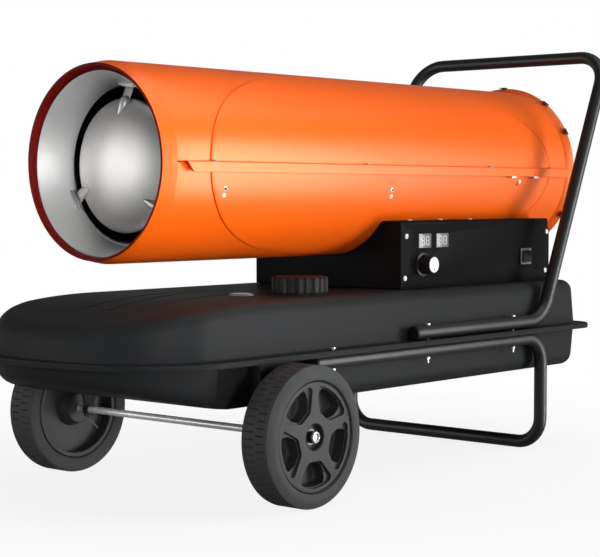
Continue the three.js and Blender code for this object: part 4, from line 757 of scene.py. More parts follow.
edge = rounded([(343, 288.3), (777, 288.3), (777, 378), (762, 392), (343, 392)], 5)
panel = outlined("control_panel", [at(155.3, y, z) for y, z in edge], Vector((0.0015, 0, 0)))
cut(panel,
    block("low_window", (150, 390.2, 353.2), (165, 423.8, 376.8)),
    block("high_window", (150, 437.7, 353.2), (165, 471.3, 376.8)),
    block("switch_hole", (150, 685, 319), (165, 715, 345)),
    rod(at(156, 400, 327), "x", 6, -6, 6))
fitted(softened(panel, 0.4), "heater", bare_black, "box_black", "control_panel")
for k, (y, z) in enumerate(((357.5, 373), (354, 306), (768.5, 374), (764.5, 305.5))):
    fitted(screw_head(f"panel_screw_{k + 1}", at(156.8, y, z), "x", 4.4, 2.2, 15 + 40 * k),
           "heater", white_plastic, "white_plastic")

# ---------------------------------------------------------------------------------------------------------
# Displays
# Two modules with grey windows, each with two digits of seven segments in pale liquid crystal. They clip
# into the panel from behind, onto the circuit board.

module, tree, shader, place = start_finish("backlit display window", Roughness=0.2)
# The backlight is slightly uneven, over about 15 mm.
glow = add_node(tree, "ShaderNodeTexNoise", {"Scale": 66, "Detail": 1}, {"Vector": place})
tone = add_node(tree, "ShaderNodeMixRGB", {"Color1": linear("5E6062"), "Color2": linear("6E7072")},
                {"Fac": glow.outputs["Fac"]})
tree.links.new(tone.outputs["Color"], shader.inputs["Base Color"])
tree.links.new(tone.outputs["Color"], shader.inputs["Emission Color"])
shader.inputs["Emission Strength"].default_value = 0.05

# The segments are slightly uneven in depth over about 1 mm.
liquid_crystal = layered(
    "pale liquid crystal", Roughness=0.25,
    tone=("Noise", {"Scale": 1000}, "C9CCCE", "B4B8BB"))

segments = {"3": "abcdg", "8": "abcdefg"}
# Each bar's place across and up the digit, and whether it lies flat.
bars = {"a": (0, 1, True), "b": (1, 0.5, False), "c": (1, -0.5, False), "d": (0, -1, True),
        "e": (-1, -0.5, False), "f": (-1, 0.5, False), "g": (0, 0, True)}
for name, y, digits in (("display_set_temperature", 407, "88"), ("display_room_temperature", 454.5, "38")):
    case = block(name, (136.8, y - 16.6, 353.4), (157.2, y + 16.6, 376.6))
    shaped(case, "FACE", lambda face: face.normal.x > 0.5, (bpy.ops.mesh.inset, {"thickness": 0.0016}),
           (bpy.ops.transform.translate, {"value": (0.0006, 0, 0)}))
    fitted(softened(case, 0.3), "heater", module, "display_window", name)
    pieces = []
    for k, digit in enumerate(digits):
        centre_y = y - 5.8 + 11.6 * k
        for letter in segments[digit]:
            across, up, flat = bars[letter]
            bar_y, bar_z = centre_y + across * 3.6, 365 + up * 6.6
            wide, tall = (3.0, 0.8) if flat else (0.8, 2.9)
            segment = block(name + "_digits", (157.8, bar_y - wide, bar_z - tall),
                            (157.95, bar_y + wide, bar_z + tall))
            pieces.append(softened(segment, 0.05, 1))
    fitted(joined(*pieces), "heater", liquid_crystal, "display_window")

# ---------------------------------------------------------------------------------------------------------
# Thermostat knob
# A thin black skirt with a ring of pale grey marks turns with a fluted black grip, both of phenolic plastic.
# A white cap is pressed into the grip's end, with a small pointer printed on it.

# Filler grains show at about 0.6 mm, and finger grease dulls patches about 9 mm wide.
phenolic = layered(
    "black phenolic plastic", Roughness=0.3, Specular_IOR_Level=0.2,
    tone=("Noise", {"Scale": 1600}, "161617", "202021"), gloss=("Noise", {"Scale": 110}, 0.2, 0.42))

knob_centre = at(0, 400, 327)
knob = turned("thermostat_knob", knob_centre, "x", [
    (4.2, 157.3), (19, 157.3), (19.6, 157.9), (19.2, 159.4), (15.6, 160.4), (15.4, 161.2), (14.6, 178.6),
    (13.8, 180.2), (13, 180.6), (4.2, 180.6), (4.2, 157.3)], steps=96)


def in_flute(point):
    """True for one of every four columns of points on the grip's side."""
    away = point.co - knob_centre
    column = round(math.degrees(math.atan2(away.y, away.z)) / 3.75)
    return column % 4 == 0 and 0.0135 < math.hypot(away.y, away.z) < 0.0156 and away.x > 0.1609


shaped(knob, "VERT", in_flute,
       (bpy.ops.transform.resize, {"value": (1, 0.94, 0.94), "center_override": knob_centre}))
fitted(knob, "thermostat_knob", phenolic, "knob_plastic", "thermostat_knob")
knob_cap = turned("knob_cap", knob_centre, "x", [
    (0, 178.6), (12.6, 178.6), (12.6, 180.5), (12.1, 181), (11.4, 181.05), (0, 181.05)], steps=48)
pointer = outlined("knob_pointer", [
    at(180.9, 400 + across, 327 + up) for across, up in ((-1.4, -5.6), (0, -10.4), (1.4, -5.6))],
    Vector((0.0002, 0, 0)))
fitted(knob_cap, "thermostat_knob", white_plastic, "white_plastic")
fitted(softened(pointer, 0.04, 1), "thermostat_knob", phenolic, "knob_plastic")
marks = []
for k in range(22):
    turn = math.radians(-60 + k * 300 / 21)
    mark = placed("knob_marks", bpy.ops.mesh.primitive_cube_add, size=1, rotation=(turn, 0, 0),
                  scale=(0.0003, 0.0008, 0.002 if k % 3 else 0.0028),
                  location=knob_centre + Vector((0.15985, -0.0175 * math.sin(turn), 0.0175 * math.cos(turn))))
    marks.append(softened(mark, 0.08, 1))
fitted(joined(*marks), "thermostat_knob", grey_plastic, "grey_plastic")

# ---------------------------------------------------------------------------------------------------------
# Rocker switch
# A grey frame clipped into the panel round a black rocker, which tips on a pin behind it. At rest the front
# half of the rocker is pressed in and the rear half stands out.

switch_y, switch_z = 700, 332
switch = block("switch_frame", (157.1, switch_y - 16.3, switch_z - 14.3),
               (159.5, switch_y + 16.3, switch_z + 14.3))
shaped(switch, "FACE", lambda face: face.normal.x < -0.5, (bpy.ops.mesh.inset, {"thickness": 0.0028}),
       (bpy.ops.mesh.extrude_region_move, {"TRANSFORM_OT_translate": {"value": Vector((-0.0236, 0, 0))}}))
cut(switch, block("well", (145.3, switch_y - 12.1, switch_z - 10.1), (165, switch_y + 12.1, switch_z + 10.1)))
fitted(softened(switch, 0.7, 3), "heater", grey_plastic, "grey_plastic", "switch_frame")
tilt = math.radians(9)
profile = [(-4, -5), (4, -5), (4, 2), (10.9, 4.4), (10.4, 6.3), (9.6, 6.3), (0, 4.6), (-9.6, 6.3),
           (-10.4, 6.3), (-10.9, 4.4), (-4, 2)]
rocker = outlined("switch_rocker", [
    at(156.1 + v * math.cos(tilt) - u * math.sin(tilt), switch_y - v * math.sin(tilt) - u * math.cos(tilt),
       switch_z - 9.8) for u, v in profile], Vector((0, 0, 0.0196)))
fitted(softened(rocker, 0.5, 2, 8), "switch_rocker", nylon, "black_plastic", "switch_rocker")

# ---------------------------------------------------------------------------------------------------------
# Inside the control box
# The glass-fibre circuit board, the ceramic thermostat, the potted ignition transformer and the power inlet
# gland keep their frame shapes and have their real finishes.

# Copper tracks 2.5 mm apart show lighter through the mask, which has fine pinholes.
board = layered(
    "green solder mask on glass fibre", Roughness=0.4,
    tone=("Brick", {"Scale": 200}, "1E5A34", "2F7A48"), relief=("Noise", {"Scale": 900}, 0.2, 0.0002))

# The glaze pools over about 6 mm, with rare grey specks 0.7 mm wide.
ceramic = layered(
    "glazed white steatite", Roughness=0.25,
    tone=("Noise", {"Scale": 160}, "EDEAE2", "DAD6CC"), gloss=("Noise", {"Scale": 1400}, 0.15, 0.35))

coated(board, "circuit_board")
coated(ceramic, "thermostat")
coated(phenolic, "ignition_transformer")
coated(nylon, "cable_gland")

# ---------------------------------------------------------------------------------------------------------
# Shell halves
# Rolled from 1.2 mm steel sheet and enamelled orange. Each half has a rolled front lip, a flared rear
# collar and a wide pressed panel on each side, and the halves meet at a seam flange on both sides.

# The enamel has orange-peel ripples about 3 mm wide and drifts in tone over about 200 mm.
enamel = layered(
    "orange baked enamel on steel", Roughness=0.34, Specular_IOR_Level=0.7, Specular_Tint=linear("FFF0C0"),
    tone=("Noise", {"Scale": 5, "Detail": 2}, "F55F0A", "F8660D"),
    relief=("Noise", {"Scale": 330, "Detail": 1}, 0.06, 0.0003))

shell_radius = 145
oval_middle, oval_length, oval_height = 356.5, 435.5, 188
skin = [
    (138.1, -158), (137.6, -164), (137.9, -167), (139, -168), (140.2, -167.4), (142.6, -155), (144.8, -143.6),
    (145, -142.4), (145, 40), (145, 240), (145, 440), (145, 640), (145, 848.3), (144.3, 849), (144.6, 849.9),
    (145.6, 851), (147.8, 855.4), (150.4, 861), (152, 864.6), (152.5, 865.9)]


def half_shell(name):
    """Half of the round shell, from +X over the top to -X."""
    piece = drawn(name, [shell_axis + Vector((radius, along, 0)) / 1000 for radius, along in skin])
    bpy.ops.mesh.select_all(action="SELECT")
    bpy.ops.mesh.spin(steps=72, angle=math.pi, center=shell_axis, axis=(0, 1, 0))
    bpy.ops.mesh.select_all(action="SELECT")
    bpy.ops.mesh.normals_make_consistent(inside=False)
    bpy.ops.object.mode_set(mode="OBJECT")
    widest = max(piece.data.polygons, key=lambda face: face.area)
    if widest.normal.dot(widest.center - shell_axis - Vector((0, widest.center.y - shell_axis.y, 0))) < 0:
        piece.data.flip_normals()
    return worked(piece, "SOLIDIFY", thickness=0.0012, offset=-1)


def side_panel(name):
    """The upper half of the long pressed oval on the +X side: rings that shrink towards its middle."""
    levels = [(1, 144.2), (1, 145.6), (0.9985, 146.4), (0.993, 146.9), (0.984, 147)]
    levels += [(0.984 * k / 8, 147) for k in range(7, -1, -1)]
    mesh = bmesh.new()
    rows = []
    for share, radius in levels:
        row = []
        for k in range(97):
            around = math.pi * k / 96
            turn = oval_height / shell_radius * share * math.sin(around)
            along = oval_middle + oval_length * share * math.cos(around)
            row.append(mesh.verts.new(
                shell_axis + Vector((radius * math.cos(turn), along, radius * math.sin(turn))) / 1000))
        rows.append(row)
    for low, high in zip(rows, rows[1:]):
        for k in range(96):
            mesh.faces.new((low[k + 1], low[k], high[k], high[k + 1]))
    bmesh.ops.remove_doubles(mesh, verts=mesh.verts, dist=0.000002)
    piece = mesh_piece(name, mesh)
    if piece.data.polygons[0].normal.x < 0:
        piece.data.flip_normals()
    return piece


def seam_strip(name, outline, front, slant):
    """A folded strip along the seam on the +X side, from its slanting front end to the collar."""
    piece = outlined(name, [at(x, front, z) for x, z in outline], Vector((0, (846 - front) / 1000, 0)))
    shaped(piece, "VERT", lambda point: point.co.z < 0.48 and point.co.y < 0,
           (bpy.ops.transform.translate, {"value": (0, slant / 1000, 0)}))
    return softened(piece, 0.25, 1)


mirrored_down = (Matrix.Translation(shell_axis) @ Matrix.Diagonal((1, 1, -1, 1))
                 @ Matrix.Translation(-shell_axis))
upper_shell = half_shell("upper_shell")
lower_shell = twin(upper_shell, "lower_shell", mirrored_down)
panel_right = side_panel("side_panel")
panel_left = twin(panel_right, "side_panel", mirrored)
lower_right = twin(panel_right, "side_panel", mirrored_down)
lower_left = twin(panel_left, "side_panel", mirrored_down)
flange_right = seam_strip("seam", [
    (144.4, 486.4), (153, 486.4), (154.4, 485.9), (155, 484.6), (155, 471), (153.8, 471), (153.8, 484.2),
    (153.2, 485.2), (144.4, 485.2)], -133, 12)
flange_left = twin(flange_right, "seam", mirrored)
ledge_right = seam_strip("ledge", [(144.4, 484.9), (152, 484.9), (152, 483.7), (144.4, 483.7)], -121, 0)
ledge_left = twin(ledge_right, "ledge", mirrored)


def on_shell(y, turn, radius):
    """A place on the shell's side, turned from +X towards +Z in degrees."""
    turn = math.radians(turn)
    return shell_axis + Vector((radius * math.cos(turn), y, radius * math.sin(turn))) / 1000


def oval_groove(name):
    """A ring-shaped cutter, 1.8 to 4.8 mm wide, along the outside of the +X side's pressed oval."""
    mesh = bmesh.new()
    rows = []
    for k in range(192):
        around = math.tau * k / 192
        normal = Vector((math.sin(around) / oval_height, math.cos(around) / oval_length)).normalized()
        row = []
        wide = 1.8 + 3 * max(0, math.cos(around))
        for out, radius in ((-0.6, 144.3), (-0.6, 147.5), (wide, 147.5), (wide, 144.3)):
            turn = (oval_height * math.sin(around) + out * normal.x) / shell_radius
            along = oval_middle + oval_length * math.cos(around) + out * normal.y
            row.append(mesh.verts.new(on_shell(along, math.degrees(turn), radius)))
        rows.append(row)
    for k, row in enumerate(rows):
        for i in range(4):
            mesh.faces.new((rows[k - 1][i], row[i], row[i - 3], rows[k - 1][i - 3]))
    piece = mesh_piece(name, mesh)
    only(piece)
    bpy.ops.object.mode_set(mode="EDIT")
    closed_up()
    return piece


for half in (upper_shell, lower_shell):
    groove = oval_groove("groove")
    cut(half, twin(groove, "groove_left", mirrored), groove)
    cut(half, *[block("seam_gap", (low, -170, 484.2), (low + 3, -100, 485.8)) for low in (-146.5, 143.5)])
upper_shell = joined(upper_shell, panel_right, panel_left, flange_right, flange_left)
lower_shell = joined(lower_shell, lower_right, lower_left, ledge_right, ledge_left)
fitted(upper_shell, "heater", enamel, "shell_orange", "upper_shell", angle=24)
fitted(lower_shell, "heater", enamel, "shell_orange", "lower_shell", angle=24)

# ---------------------------------------------------------------------------------------------------------
# Mouth ring
# The inside of the shell's rolled lip, and the narrow flange that holds the cone there, have a red primer
# that is painted dark as painted shade of the inside of the mouth.

# The primer's darkness is painted shade, and soot darkens it further in patches about 30 mm wide, over a
# dusty grain of about 1 mm.
primer_painted_shade = layered(
    "red primer painted dark as shade", Roughness=0.6, Specular_IOR_Level=0.1,
    tone=("Noise", {"Scale": 33, "Detail": 3}, "7A0F07", "5A0A05"),
    relief=("Noise", {"Scale": 1000}, 0.2, 0.0002))
ring = turned("mouth_ring", shell_axis, "y", [
    (134.6, -151.4), (135.4, -152), (135.5, -160), (135.8, -166.2), (136.7, -168), (138.4, -168.8),
    (139.8, -168.4), (140.3, -167.6), (138.6, -167.2), (137.2, -164), (137.2, -150.4), (134.6, -150.4),
    (134.6, -151.4)], steps=128)
cone_axis = shell_axis - Vector((0, 0, 0.004))
flange = turned("flange", cone_axis, "y", [
    (131.9, -150.4), (138.6, -150.4), (138.9, -150), (138.6, -149.6), (131.9, -149.6),
    (131.9, -150.4)], steps=128)
fitted(joined(ring, flange), "heater", primer_painted_shade, "shell_orange")

# ---------------------------------------------------------------------------------------------------------
# Shell screws, rivet nuts and clips
# Zinc-plated screws close the seam from above. On each side white-capped ones hold the inner brackets,
# beside two blind rivet nuts and a dab of red sealing lacquer. Two white nylon clips grip the seam's edge
# near the rear.

for side, sign in (("left", -1), ("right", 1)):
    for k, y in enumerate((-76, 267, 603, 792)):
        fitted(screw_head(f"seam_screw_{side}_{k + 1}", at(sign * 149.8, y, 486.3), "z", 4.4, 2.6, 30 * k),
               "heater", zinc, "zinc")


def set_on_sides(piece, left_name, y, turn, radius, finish, slot, lean=None):
    """Sets a piece that was made along X square on the shell's side, or leaning, and its copy on the left."""
    upright = Matrix.Rotation(-math.radians(turn if lean is None else lean), 4, "Y")
    piece.data.transform(Matrix.Translation(on_shell(y, turn, radius)) @ upright)
    fitted_pair(piece, left_name, "heater", finish, slot)


for k, (y, turn) in enumerate(((-45.9, -18.5), (341.3, -19.4), (699, -9))):
    head = screw_head(f"shell_screw_right_{k + 1}", Vector(), "x", 4.1, 1.9, 20 + 30 * k)
    set_on_sides(head, f"shell_screw_left_{k + 1}", y, turn, 146.4, white_plastic, "white_plastic")
for k, (y, turn) in enumerate(((-46.4, -14.7), (339.5, -15))):
    # A blind rivet nut's bright rim, and inside it a black disc that is painted shade for the dark mouth of
    # its bore, just above each of the first two screws.
    for part, profile, finish, slot in (
            ("rim", [(2.3, 0.7), (2.7, 0.9), (3.6, 0.7), (3.9, 0), (3.9, -0.4), (2.3, -0.4), (2.3, 0.7)],
             zinc, "zinc"),
            ("bore", [(0, 0.1), (1.6, 0.15), (2.5, 0.4), (2.5, -0.3), (0, -0.3)], bare_black, "frame_black")):
        piece = turned(f"rivet_nut_{part}_right_{k + 1}", Vector(), "x", profile, 20)
        set_on_sides(piece, f"rivet_nut_{part}_left_{k + 1}", y, turn, 147, finish, slot)
# The dab dried thinner towards its edge, which shows as tone changes over about 2 mm.
lacquer = layered(
    "red sealing lacquer", Roughness=0.25, Specular_IOR_Level=0.4,
    tone=("Noise", {"Scale": 500}, "9C0810", "B81018"))
dab = turned("seal_dab_right", Vector(), "x", [(0, -0.2), (3.6, -0.2), (3.8, 0.3), (2.6, 1.1), (0, 1.4)], 20)
set_on_sides(dab, "seal_dab_left", 691.5, -10.4, 146.8, lacquer, "shell_orange", lean=-10)
for k, y in enumerate((667.5, 737)):
    clip = softened(block(f"seam_clip_{k + 1}", (152.4, y - 7, 467.8), (155.6, y + 7, 471.6)), 0.7)
    fitted(clip, "heater", white_plastic, "white_plastic")

# ---------------------------------------------------------------------------------------------------------
# Outlet cone
# Spun from 1 mm stainless steel sheet and brushed round, it carries the flame from the chamber to the shell's
# mouth. Its rear collar slides over the combustion chamber.


def round_axis(tree, place):
    """Distance from the shell's axis in metres, for finishes that were worked on a lathe."""
    away = add_node(tree, "ShaderNodeVectorMath", {"operation": "SUBTRACT", 1: shell_axis}, {0: place})
    flat = add_node(tree, "ShaderNodeVectorMath", {"operation": "MULTIPLY", 1: (1, 0, 1)},
                    {0: away.outputs[0]})
    length = add_node(tree, "ShaderNodeVectorMath", {"operation": "LENGTH"}, {0: flat.outputs[0]})
    return length.outputs["Value"]


# The brush leaves rings about 0.5 mm apart, and heat leaves faint straw patches about 60 mm wide.
brushed = layered(
    "brushed stainless steel", Metallic=0.7, Roughness=0.5, lathe=round_axis,
    tone=("Noise", {"Scale": 16, "Detail": 2}, "D2D3D3", "E0DFDD"),
    gloss=("Noise", {"noise_dimensions": "1D", "Scale": 2000, "Detail": 4}, 0.4, 0.56),
    relief=("Noise", {"noise_dimensions": "1D", "Scale": 2000, "Detail": 4}, 0.6, 0.0002))

cone = turned("outlet_cone", shell_axis, "y", [
    (133.4, -157), (132.6, -156.6), (116, -102.4), (116, -100.4), (117.6, -98.4), (117.6, -86.2),
    (118.6, -86.2), (118.6, -99), (117.4, -101.4), (117.4, -102.6), (131.3, -148.6), (139, -148),
    (139, -147), (131.6, -147), (133.6, -153), (134, -156.4), (133.4, -157)], steps=128)
neck_end = at(0, -99.5, 0).y
shaped(cone, "VERT", lambda point: point.co.y < neck_end,
       (bpy.ops.transform.translate, {"value": cone_axis - shell_axis}))
fitted(cone, "heater", brushed, "stainless", "outlet_cone")

# ---------------------------------------------------------------------------------------------------------
# Deflector dome
# A satin stainless steel dish that turns the flame outwards. Three pressed gussets stiffen its rim, and their
# feet reach over the gap to the cone, which they are spot welded to.

# Spinning leaves rings about 1 mm apart, and heat dulls the metal in patches about 40 mm wide.
satin = layered(
    "satin heat-stained stainless steel", Metallic=1.0, Roughness=0.42, lathe=round_axis,
    tone=("Noise", {"Scale": 25, "Detail": 3}, "B6B5B4", "C9C8C7"),
    gloss=("Noise", {"Scale": 25, "Detail": 3}, 0.36, 0.52),
    relief=("Noise", {"noise_dimensions": "1D", "Scale": 1000, "Detail": 3}, 0.08, 0.0002))

dome = turned("deflector_dome", cone_axis, "y", [
    (0, -130.4), (12, -130.2), (28, -129), (46, -126.4), (62, -122.6), (76, -118), (87, -113), (93.5, -109.4),
    (96.6, -107), (97.4, -105.4), (97.5, -101), (96.5, -101), (96.3, -105), (93, -107.8), (86.5, -111.6),
    (75.6, -116.6), (61.6, -121.2), (45.8, -125), (28, -127.6), (12, -128.8), (0, -129)], steps=96)
fins = []
for turn, lean in ((90, 14), (209, 14), (316, -14)):
    # A half-round gusset swells from a point on the dome to the rim, and a sloping strap bridges the gap to
    # a foot with two raised edges that lies along the cone's wall.
    gusset = turned("gusset", Vector(), "x", [
        (0, 0), (3.6, 8), (6.8, 18), (8.4, 26), (8.2, 31), (5.6, 35), (0, 36.4)], 24)
    gusset.data.transform(
        Matrix.Translation((0.067, -0.1202, 0)) @ Matrix.Rotation(math.radians(lean), 4, "Y")
        @ Matrix.Rotation(math.radians(22), 4, "Z"))
    strap = block("strap", (-1, 299.4, -8.5), (27.5, 300.8, 8.5))
    strap.data.transform(Matrix.Translation((0.0925, -0.1108, 0)) @ Matrix.Rotation(math.radians(20), 4, "Z"))
    foot = block("foot", (-1.6, 300, -15), (0, 308.5, 15))
    edges = [block("edge", (-3.6, 300 + low, -15), (0, 302 + low, 15)) for low in (0, 6.5)]
    for part in (foot, *edges):
        part.data.transform(
            Matrix.Translation((0.1188, -0.1113, 0)) @ Matrix.Rotation(math.radians(16), 4, "Z"))
    for part in (strap, foot, *edges):
        part.data.transform(Matrix.Rotation(math.radians(lean * 0.3), 4, "Y"))
        softened(part, 0.4)
    fin = joined(gusset, strap, foot, *edges)
    fin.data.transform(Matrix.Translation(cone_axis) @ Matrix.Rotation(-math.radians(turn), 4, "Y"))
    fins.append(fin)
fitted(joined(dome, *fins), "heater", satin, "stainless", "deflector_dome", angle=28)

# ---------------------------------------------------------------------------------------------------------
# Combustion chamber, burner and lines
# These stay hidden behind the dome and keep their frame shapes: heat-blued steel, a cast aluminium burner
# with a brass nozzle, a ceramic-footed electrode, copper fuel and air lines.

blued, tree, shader, place = start_finish("heat-blued steel", Metallic=1.0, Roughness=0.5)
# Heat colours change from straw to blue over about 90 mm, under soot in patches about 25 mm wide.
bands = add_node(tree, "ShaderNodeTexNoise", {"Scale": 11, "Detail": 2}, {"Vector": place})
colours = add_node(tree, "ShaderNodeMixRGB", {"Color1": linear("5A5048"), "Color2": linear("43475A")},
                   {"Fac": bands.outputs["Fac"]})
soot = add_node(tree, "ShaderNodeTexNoise", {"Scale": 40, "Detail": 4}, {"Vector": place})
tone = add_node(tree, "ShaderNodeMixRGB", {"Color2": linear("151413")},
                {"Fac": soot.outputs["Fac"], "Color1": colours.outputs["Color"]})
tree.links.new(tone.outputs["Color"], shader.inputs["Base Color"])

# Die casting leaves flow marks about 12 mm long and pits under 1 mm.
cast = layered(
    "cast aluminium", Metallic=1.0, Roughness=0.5,
    tone=("Noise", {"Scale": 80, "Detail": 3}, "9C9EA0", "B5B7B9"),
    relief=("Noise", {"Scale": 1300}, 0.3, 0.0003))

# The tube is browned by handling in patches about 18 mm long.
copper = layered(
    "drawn copper tube", Metallic=1.0, Roughness=0.32,
    tone=("Noise", {"Scale": 55, "Detail": 3}, "C77B4E", "8E5534"))

coated(blued, "combustion_chamber")
coated(cast, "burner_head", "pump_body", "pump_cover")
coated(brass, "fuel_nozzle")
coated(ceramic, "spark_electrode")
coated(nylon, "photocell")
coated(zinc, "motor_shaft", "motor_bracket", "pump_rotor")
coated(copper, "air_line", "fuel_line")

# ---------------------------------------------------------------------------------------------------------
# Fan
# Five blades pressed from 1.2 mm aluminium sheet, twisted and cambered, are riveted to a turned hub that is
# pinned to the motor's shaft.

hub_piece = turned("fan", shell_axis, "y", [
    (5.1, 681), (13, 681), (14, 682), (14, 687), (30, 689), (33, 692), (33, 699), (30, 702), (14, 704),
    (14, 709), (13, 710), (5.1, 710), (5.1, 681)], steps=48)
blades = []
for k in range(5):
    blade = placed("blade", bpy.ops.mesh.primitive_grid_add, x_subdivisions=14, y_subdivisions=16, size=2,
                   location=(0, 0, 0))
    for point in blade.data.vertices:
        # across runs from the leading to the trailing edge, and out from the root to the tip.
        across, out = point.co.x, (point.co.y + 1) / 2
        radius = 27 + 105.4 * out
        radius -= 5 * out * max(abs(across) - 0.7, 0) ** 2 / 0.09
        pitch = math.radians(38 - 20 * out)
        chord = 17 + 24 * out ** 0.7
        camber = 3.5 * (1 - across ** 2)
        along = chord * across * math.sin(pitch) + camber * math.cos(pitch)
        sideways = chord * across * math.cos(pitch) - camber * math.sin(pitch)
        turn = math.radians(18 + 72 * k) + sideways / radius
        point.co = shell_axis + Vector((radius * math.cos(turn), 694 + along, radius * math.sin(turn))) / 1000
    blades.append(worked(blade, "SOLIDIFY", thickness=0.0012, offset=0))
fitted(joined(hub_piece, *blades), "fan_rotor", cast, "cast_aluminium", "fan")

# ---------------------------------------------------------------------------------------------------------
# Motor
# A shaded-pole motor in a black painted steel can with cooling ribs rolled into it and a bearing boss at each
# end, held by the bracket on the lower shell.

motor = turned("motor_body", shell_axis, "y", [
    (5.2, 714.2), (16, 714.2), (17, 715), (17, 724), (44, 725), (47, 727), (47.9, 730),
    *[(radius, 736 + 8 * k + step) for k in range(8)
      for radius, step in ((47.9, 0), (45.6, 1), (45.6, 3.4), (47.9, 4.4))],
    (47.9, 800), (46, 804), (43, 805.6), (5.2, 805.6), (5.2, 714.2)], steps=64)
fitted(motor, "heater", bare_black, "black_plastic", "motor_body")

# ---------------------------------------------------------------------------------------------------------
# Fan guard
# Welded from 3 mm steel wire and powder coated black: seven rings and a rim on eight spokes. Eight folded
# clips hook over the shell's rear collar.


def wire_ring(radius, y, wire=1.4):
    """One ring of the guard, round the shell's axis."""
    return placed("fan_guard", bpy.ops.mesh.primitive_torus_add,
                  major_radius=radius / 1000, minor_radius=wire / 1000, major_segments=96, minor_segments=10,
                  location=shell_axis + Vector((0, y / 1000, 0)), rotation=(math.radians(90), 0, 0))


parts = [wire_ring(radius, 861.4) for radius in (38, 54, 70, 87, 104, 121, 136)]
parts.append(wire_ring(146.6, 861.6, 1.5))
for k in range(8):
    turn = math.radians(22.5 + 45 * k)
    out = Vector((math.cos(turn), 0, math.sin(turn)))
    parts.append(bent_bar("spoke", [
        shell_axis + out * 0.0365 + Vector((0, 0.8588, 0)), shell_axis + out * 0.142 + Vector((0, 0.8588, 0)),
        shell_axis + out * 0.1466 + Vector((0, 0.8612, 0))], [6], 1.5, 10, 4))
for turn in (90, 53, 27, -32, -90, 212, 153, 127):
    clip = outlined("clip", [
        Vector((out, y, -6)) / 1000 for out, y in (
            (145.4, 860.6), (147.6, 860.6), (148, 866.3), (152.9, 866.3), (153.1, 859), (153.6, 857.4),
            (154.3, 857.4), (154.4, 867), (153.6, 867.8), (146.6, 867.8),
            (145.6, 866.8))], Vector((0, 0, 0.012)))
    softened(clip, 0.3, 1)
    clip.data.transform(Matrix.Translation(shell_axis) @ Matrix.Rotation(-math.radians(turn), 4, "Y"))
    parts.append(clip)
fitted(joined(*parts), "heater", tube_paint, "frame_black", "fan_guard")

# ---------------------------------------------------------------------------------------------------------
# Camera
# A 100 mm lens stands 1.8 m to the right of the outlet and 1.5 m in front of it, and looks slightly down,
# as in the photograph.

lens = bpy.data.cameras.new("camera")
lens.lens = 100
camera = bpy.data.objects.new("camera", lens)
camera.location = (1.7643, -2.0613, 0.4389)
camera.rotation_euler = [math.radians(turn) for turn in (87.13, 0, 40.84)]
bpy.context.collection.objects.link(camera)
bpy.context.scene.camera = camera
bpy.context.scene.view_settings.view_transform = "Standard"

# ---------------------------------------------------------------------------------------------------------
# Lamps
# A tall panel at the right rear gives the pale band along the shell, a weak one on the right softens it,
# and a narrow beam reaches into the outlet. One at the front left lights the cone and the dome, and a wide
# one overhead fills.


def panel_lamp(name, place, target, width, height, radiance, spread=180):
    """A rectangular area lamp that faces its target. Its power gives the radiance over its surface."""
    light = bpy.data.lights.new(name, "AREA")
    light.shape = "RECTANGLE"
    light.size, light.size_y = width, height
    light.energy = radiance * math.pi * width * height
    light.spread = math.radians(spread)
    lamp = bpy.data.objects.new(name, light)
    lamp.location = place
    lamp.rotation_euler = (Vector(place) - Vector(target)).to_track_quat("Z", "Y").to_euler()
    lamp.visible_camera = False
    bpy.context.collection.objects.link(lamp)


middle = (0, 0, 0.4)
panel_lamp("key", (2.64, 1.84, 0.25), middle, 1.35, 2.6, 10)
panel_lamp("side", (3.0, -1.0, 0.6), middle, 1.6, 1.0, 1)
panel_lamp("mouth", (2.3, -1.4, 0.5), (0, -0.45, 0.485), 0.8, 0.6, 1.1, 24)
panel_lamp("front", (-1.7, -2.7, 0.6), middle, 2.2, 1.1, 3.2)
panel_lamp("top", (0.9, 0.6, 2.8), middle, 2.4, 2.4, 1.3)

# ---------------------------------------------------------------------------------------------------------
# Background and floor
# White seamless paper. The camera sees plain white behind the object and a floor that keeps a soft shadow.
# Metal and gloss reflect a dimmer surround, half as bright at the horizon, as the photograph's do, and not
# the floor.

world = bpy.data.worlds.new("studio")
bpy.context.scene.world = world
world.use_nodes = True
tree = world.node_tree
background = tree.nodes["Background"]
ray = add_node(tree, "ShaderNodeLightPath")
direction = add_node(tree, "ShaderNodeTexCoord")
height = add_node(tree, "ShaderNodeSeparateXYZ", None, {"Vector": direction.outputs["Generated"]})
above = add_node(tree, "ShaderNodeMapRange", {"From Min": 0, "From Max": 0.4, "To Min": 0.5, "To Max": 0.1},
                 {"Value": height.outputs["Z"]})
below = add_node(tree, "ShaderNodeMapRange",
                 {"From Min": -0.5, "From Max": -0.1, "To Min": 0.15, "To Max": 0.5},
                 {"Value": height.outputs["Z"]})
reflected = add_node(tree, "ShaderNodeMath", {"operation": "MINIMUM"},
                     {0: above.outputs["Result"], 1: below.outputs["Result"]})
seen = add_node(tree, "ShaderNodeMixRGB", {"Color1": (0.2, 0.2, 0.205, 1)},
                {"Fac": ray.outputs["Is Glossy Ray"], "Color2": reflected.outputs[0]})
clear_view = add_node(tree, "ShaderNodeMath", {"operation": "MAXIMUM"},
                      {0: ray.outputs["Is Camera Ray"], 1: ray.outputs["Is Transmission Ray"]})
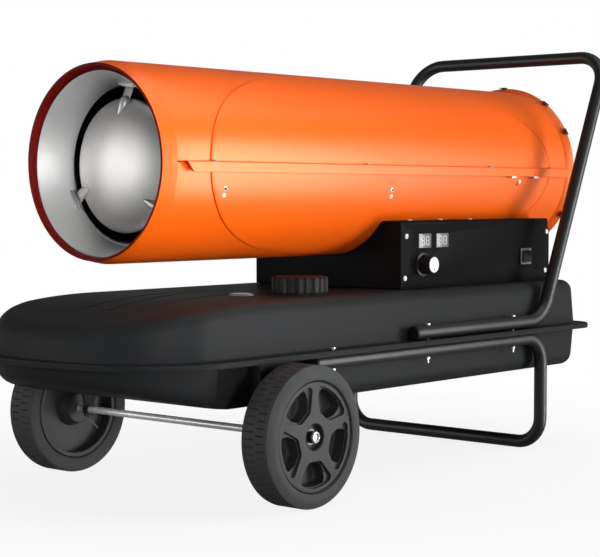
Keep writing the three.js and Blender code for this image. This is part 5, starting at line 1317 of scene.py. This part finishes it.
backdrop = add_node(tree, "ShaderNodeMixRGB", {"Color2": (1, 1, 1, 1)},
                    {"Fac": clear_view.outputs[0], "Color1": seen.outputs["Color"]})
tree.links.new(backdrop.outputs["Color"], background.inputs["Color"])

floor = placed("floor", bpy.ops.mesh.primitive_plane_add, size=12, location=(0, 0, 0))
paper, tree, diffuse, place = start_finish("white seamless paper", Roughness=0.9, Specular_IOR_Level=0.0)
ray = add_node(tree, "ShaderNodeLightPath")
fibres = add_node(tree, "ShaderNodeTexNoise", {"Scale": 400}, {"Vector": place})
tint = add_node(tree, "ShaderNodeMixRGB", {"Color1": linear("F6F6F6"), "Color2": linear("F2F2F2")},
                {"Fac": fibres.outputs["Fac"]})
seen = add_node(tree, "ShaderNodeMath", {"operation": "MAXIMUM"},
                {0: ray.outputs["Is Camera Ray"], 1: ray.outputs["Is Transmission Ray"]})
either = add_node(tree, "ShaderNodeMath", {"operation": "MAXIMUM"},
                  {0: seen.outputs[0], 1: ray.outputs["Is Glossy Ray"]})
bounce = add_node(tree, "ShaderNodeMixRGB", {"Color1": linear("707070")},
                  {"Fac": either.outputs[0], "Color2": tint.outputs["Color"]})
tree.links.new(bounce.outputs["Color"], diffuse.inputs["Base Color"])
glow = add_node(tree, "ShaderNodeEmission", {"Color": (1, 1, 1, 1), "Strength": 1.0})
away = add_node(tree, "ShaderNodeVectorMath", {"operation": "LENGTH"}, {0: place})
fade = add_node(tree, "ShaderNodeMapRange", {"From Min": 0.5, "From Max": 1.3, "To Min": 0.86, "To Max": 1},
                {"Value": away.outputs["Value"]})
share = add_node(tree, "ShaderNodeMath", {"operation": "MULTIPLY"},
                 {0: either.outputs[0], 1: fade.outputs[0]})
mix = add_node(tree, "ShaderNodeMixShader", None,
               {0: share.outputs[0], 1: diffuse.outputs["BSDF"], 2: glow.outputs["Emission"]})
tree.links.new(mix.outputs["Shader"], tree.nodes["Material Output"].inputs["Surface"])
floor.data.materials.append(paper)
floor.visible_glossy = floor.visible_shadow = False
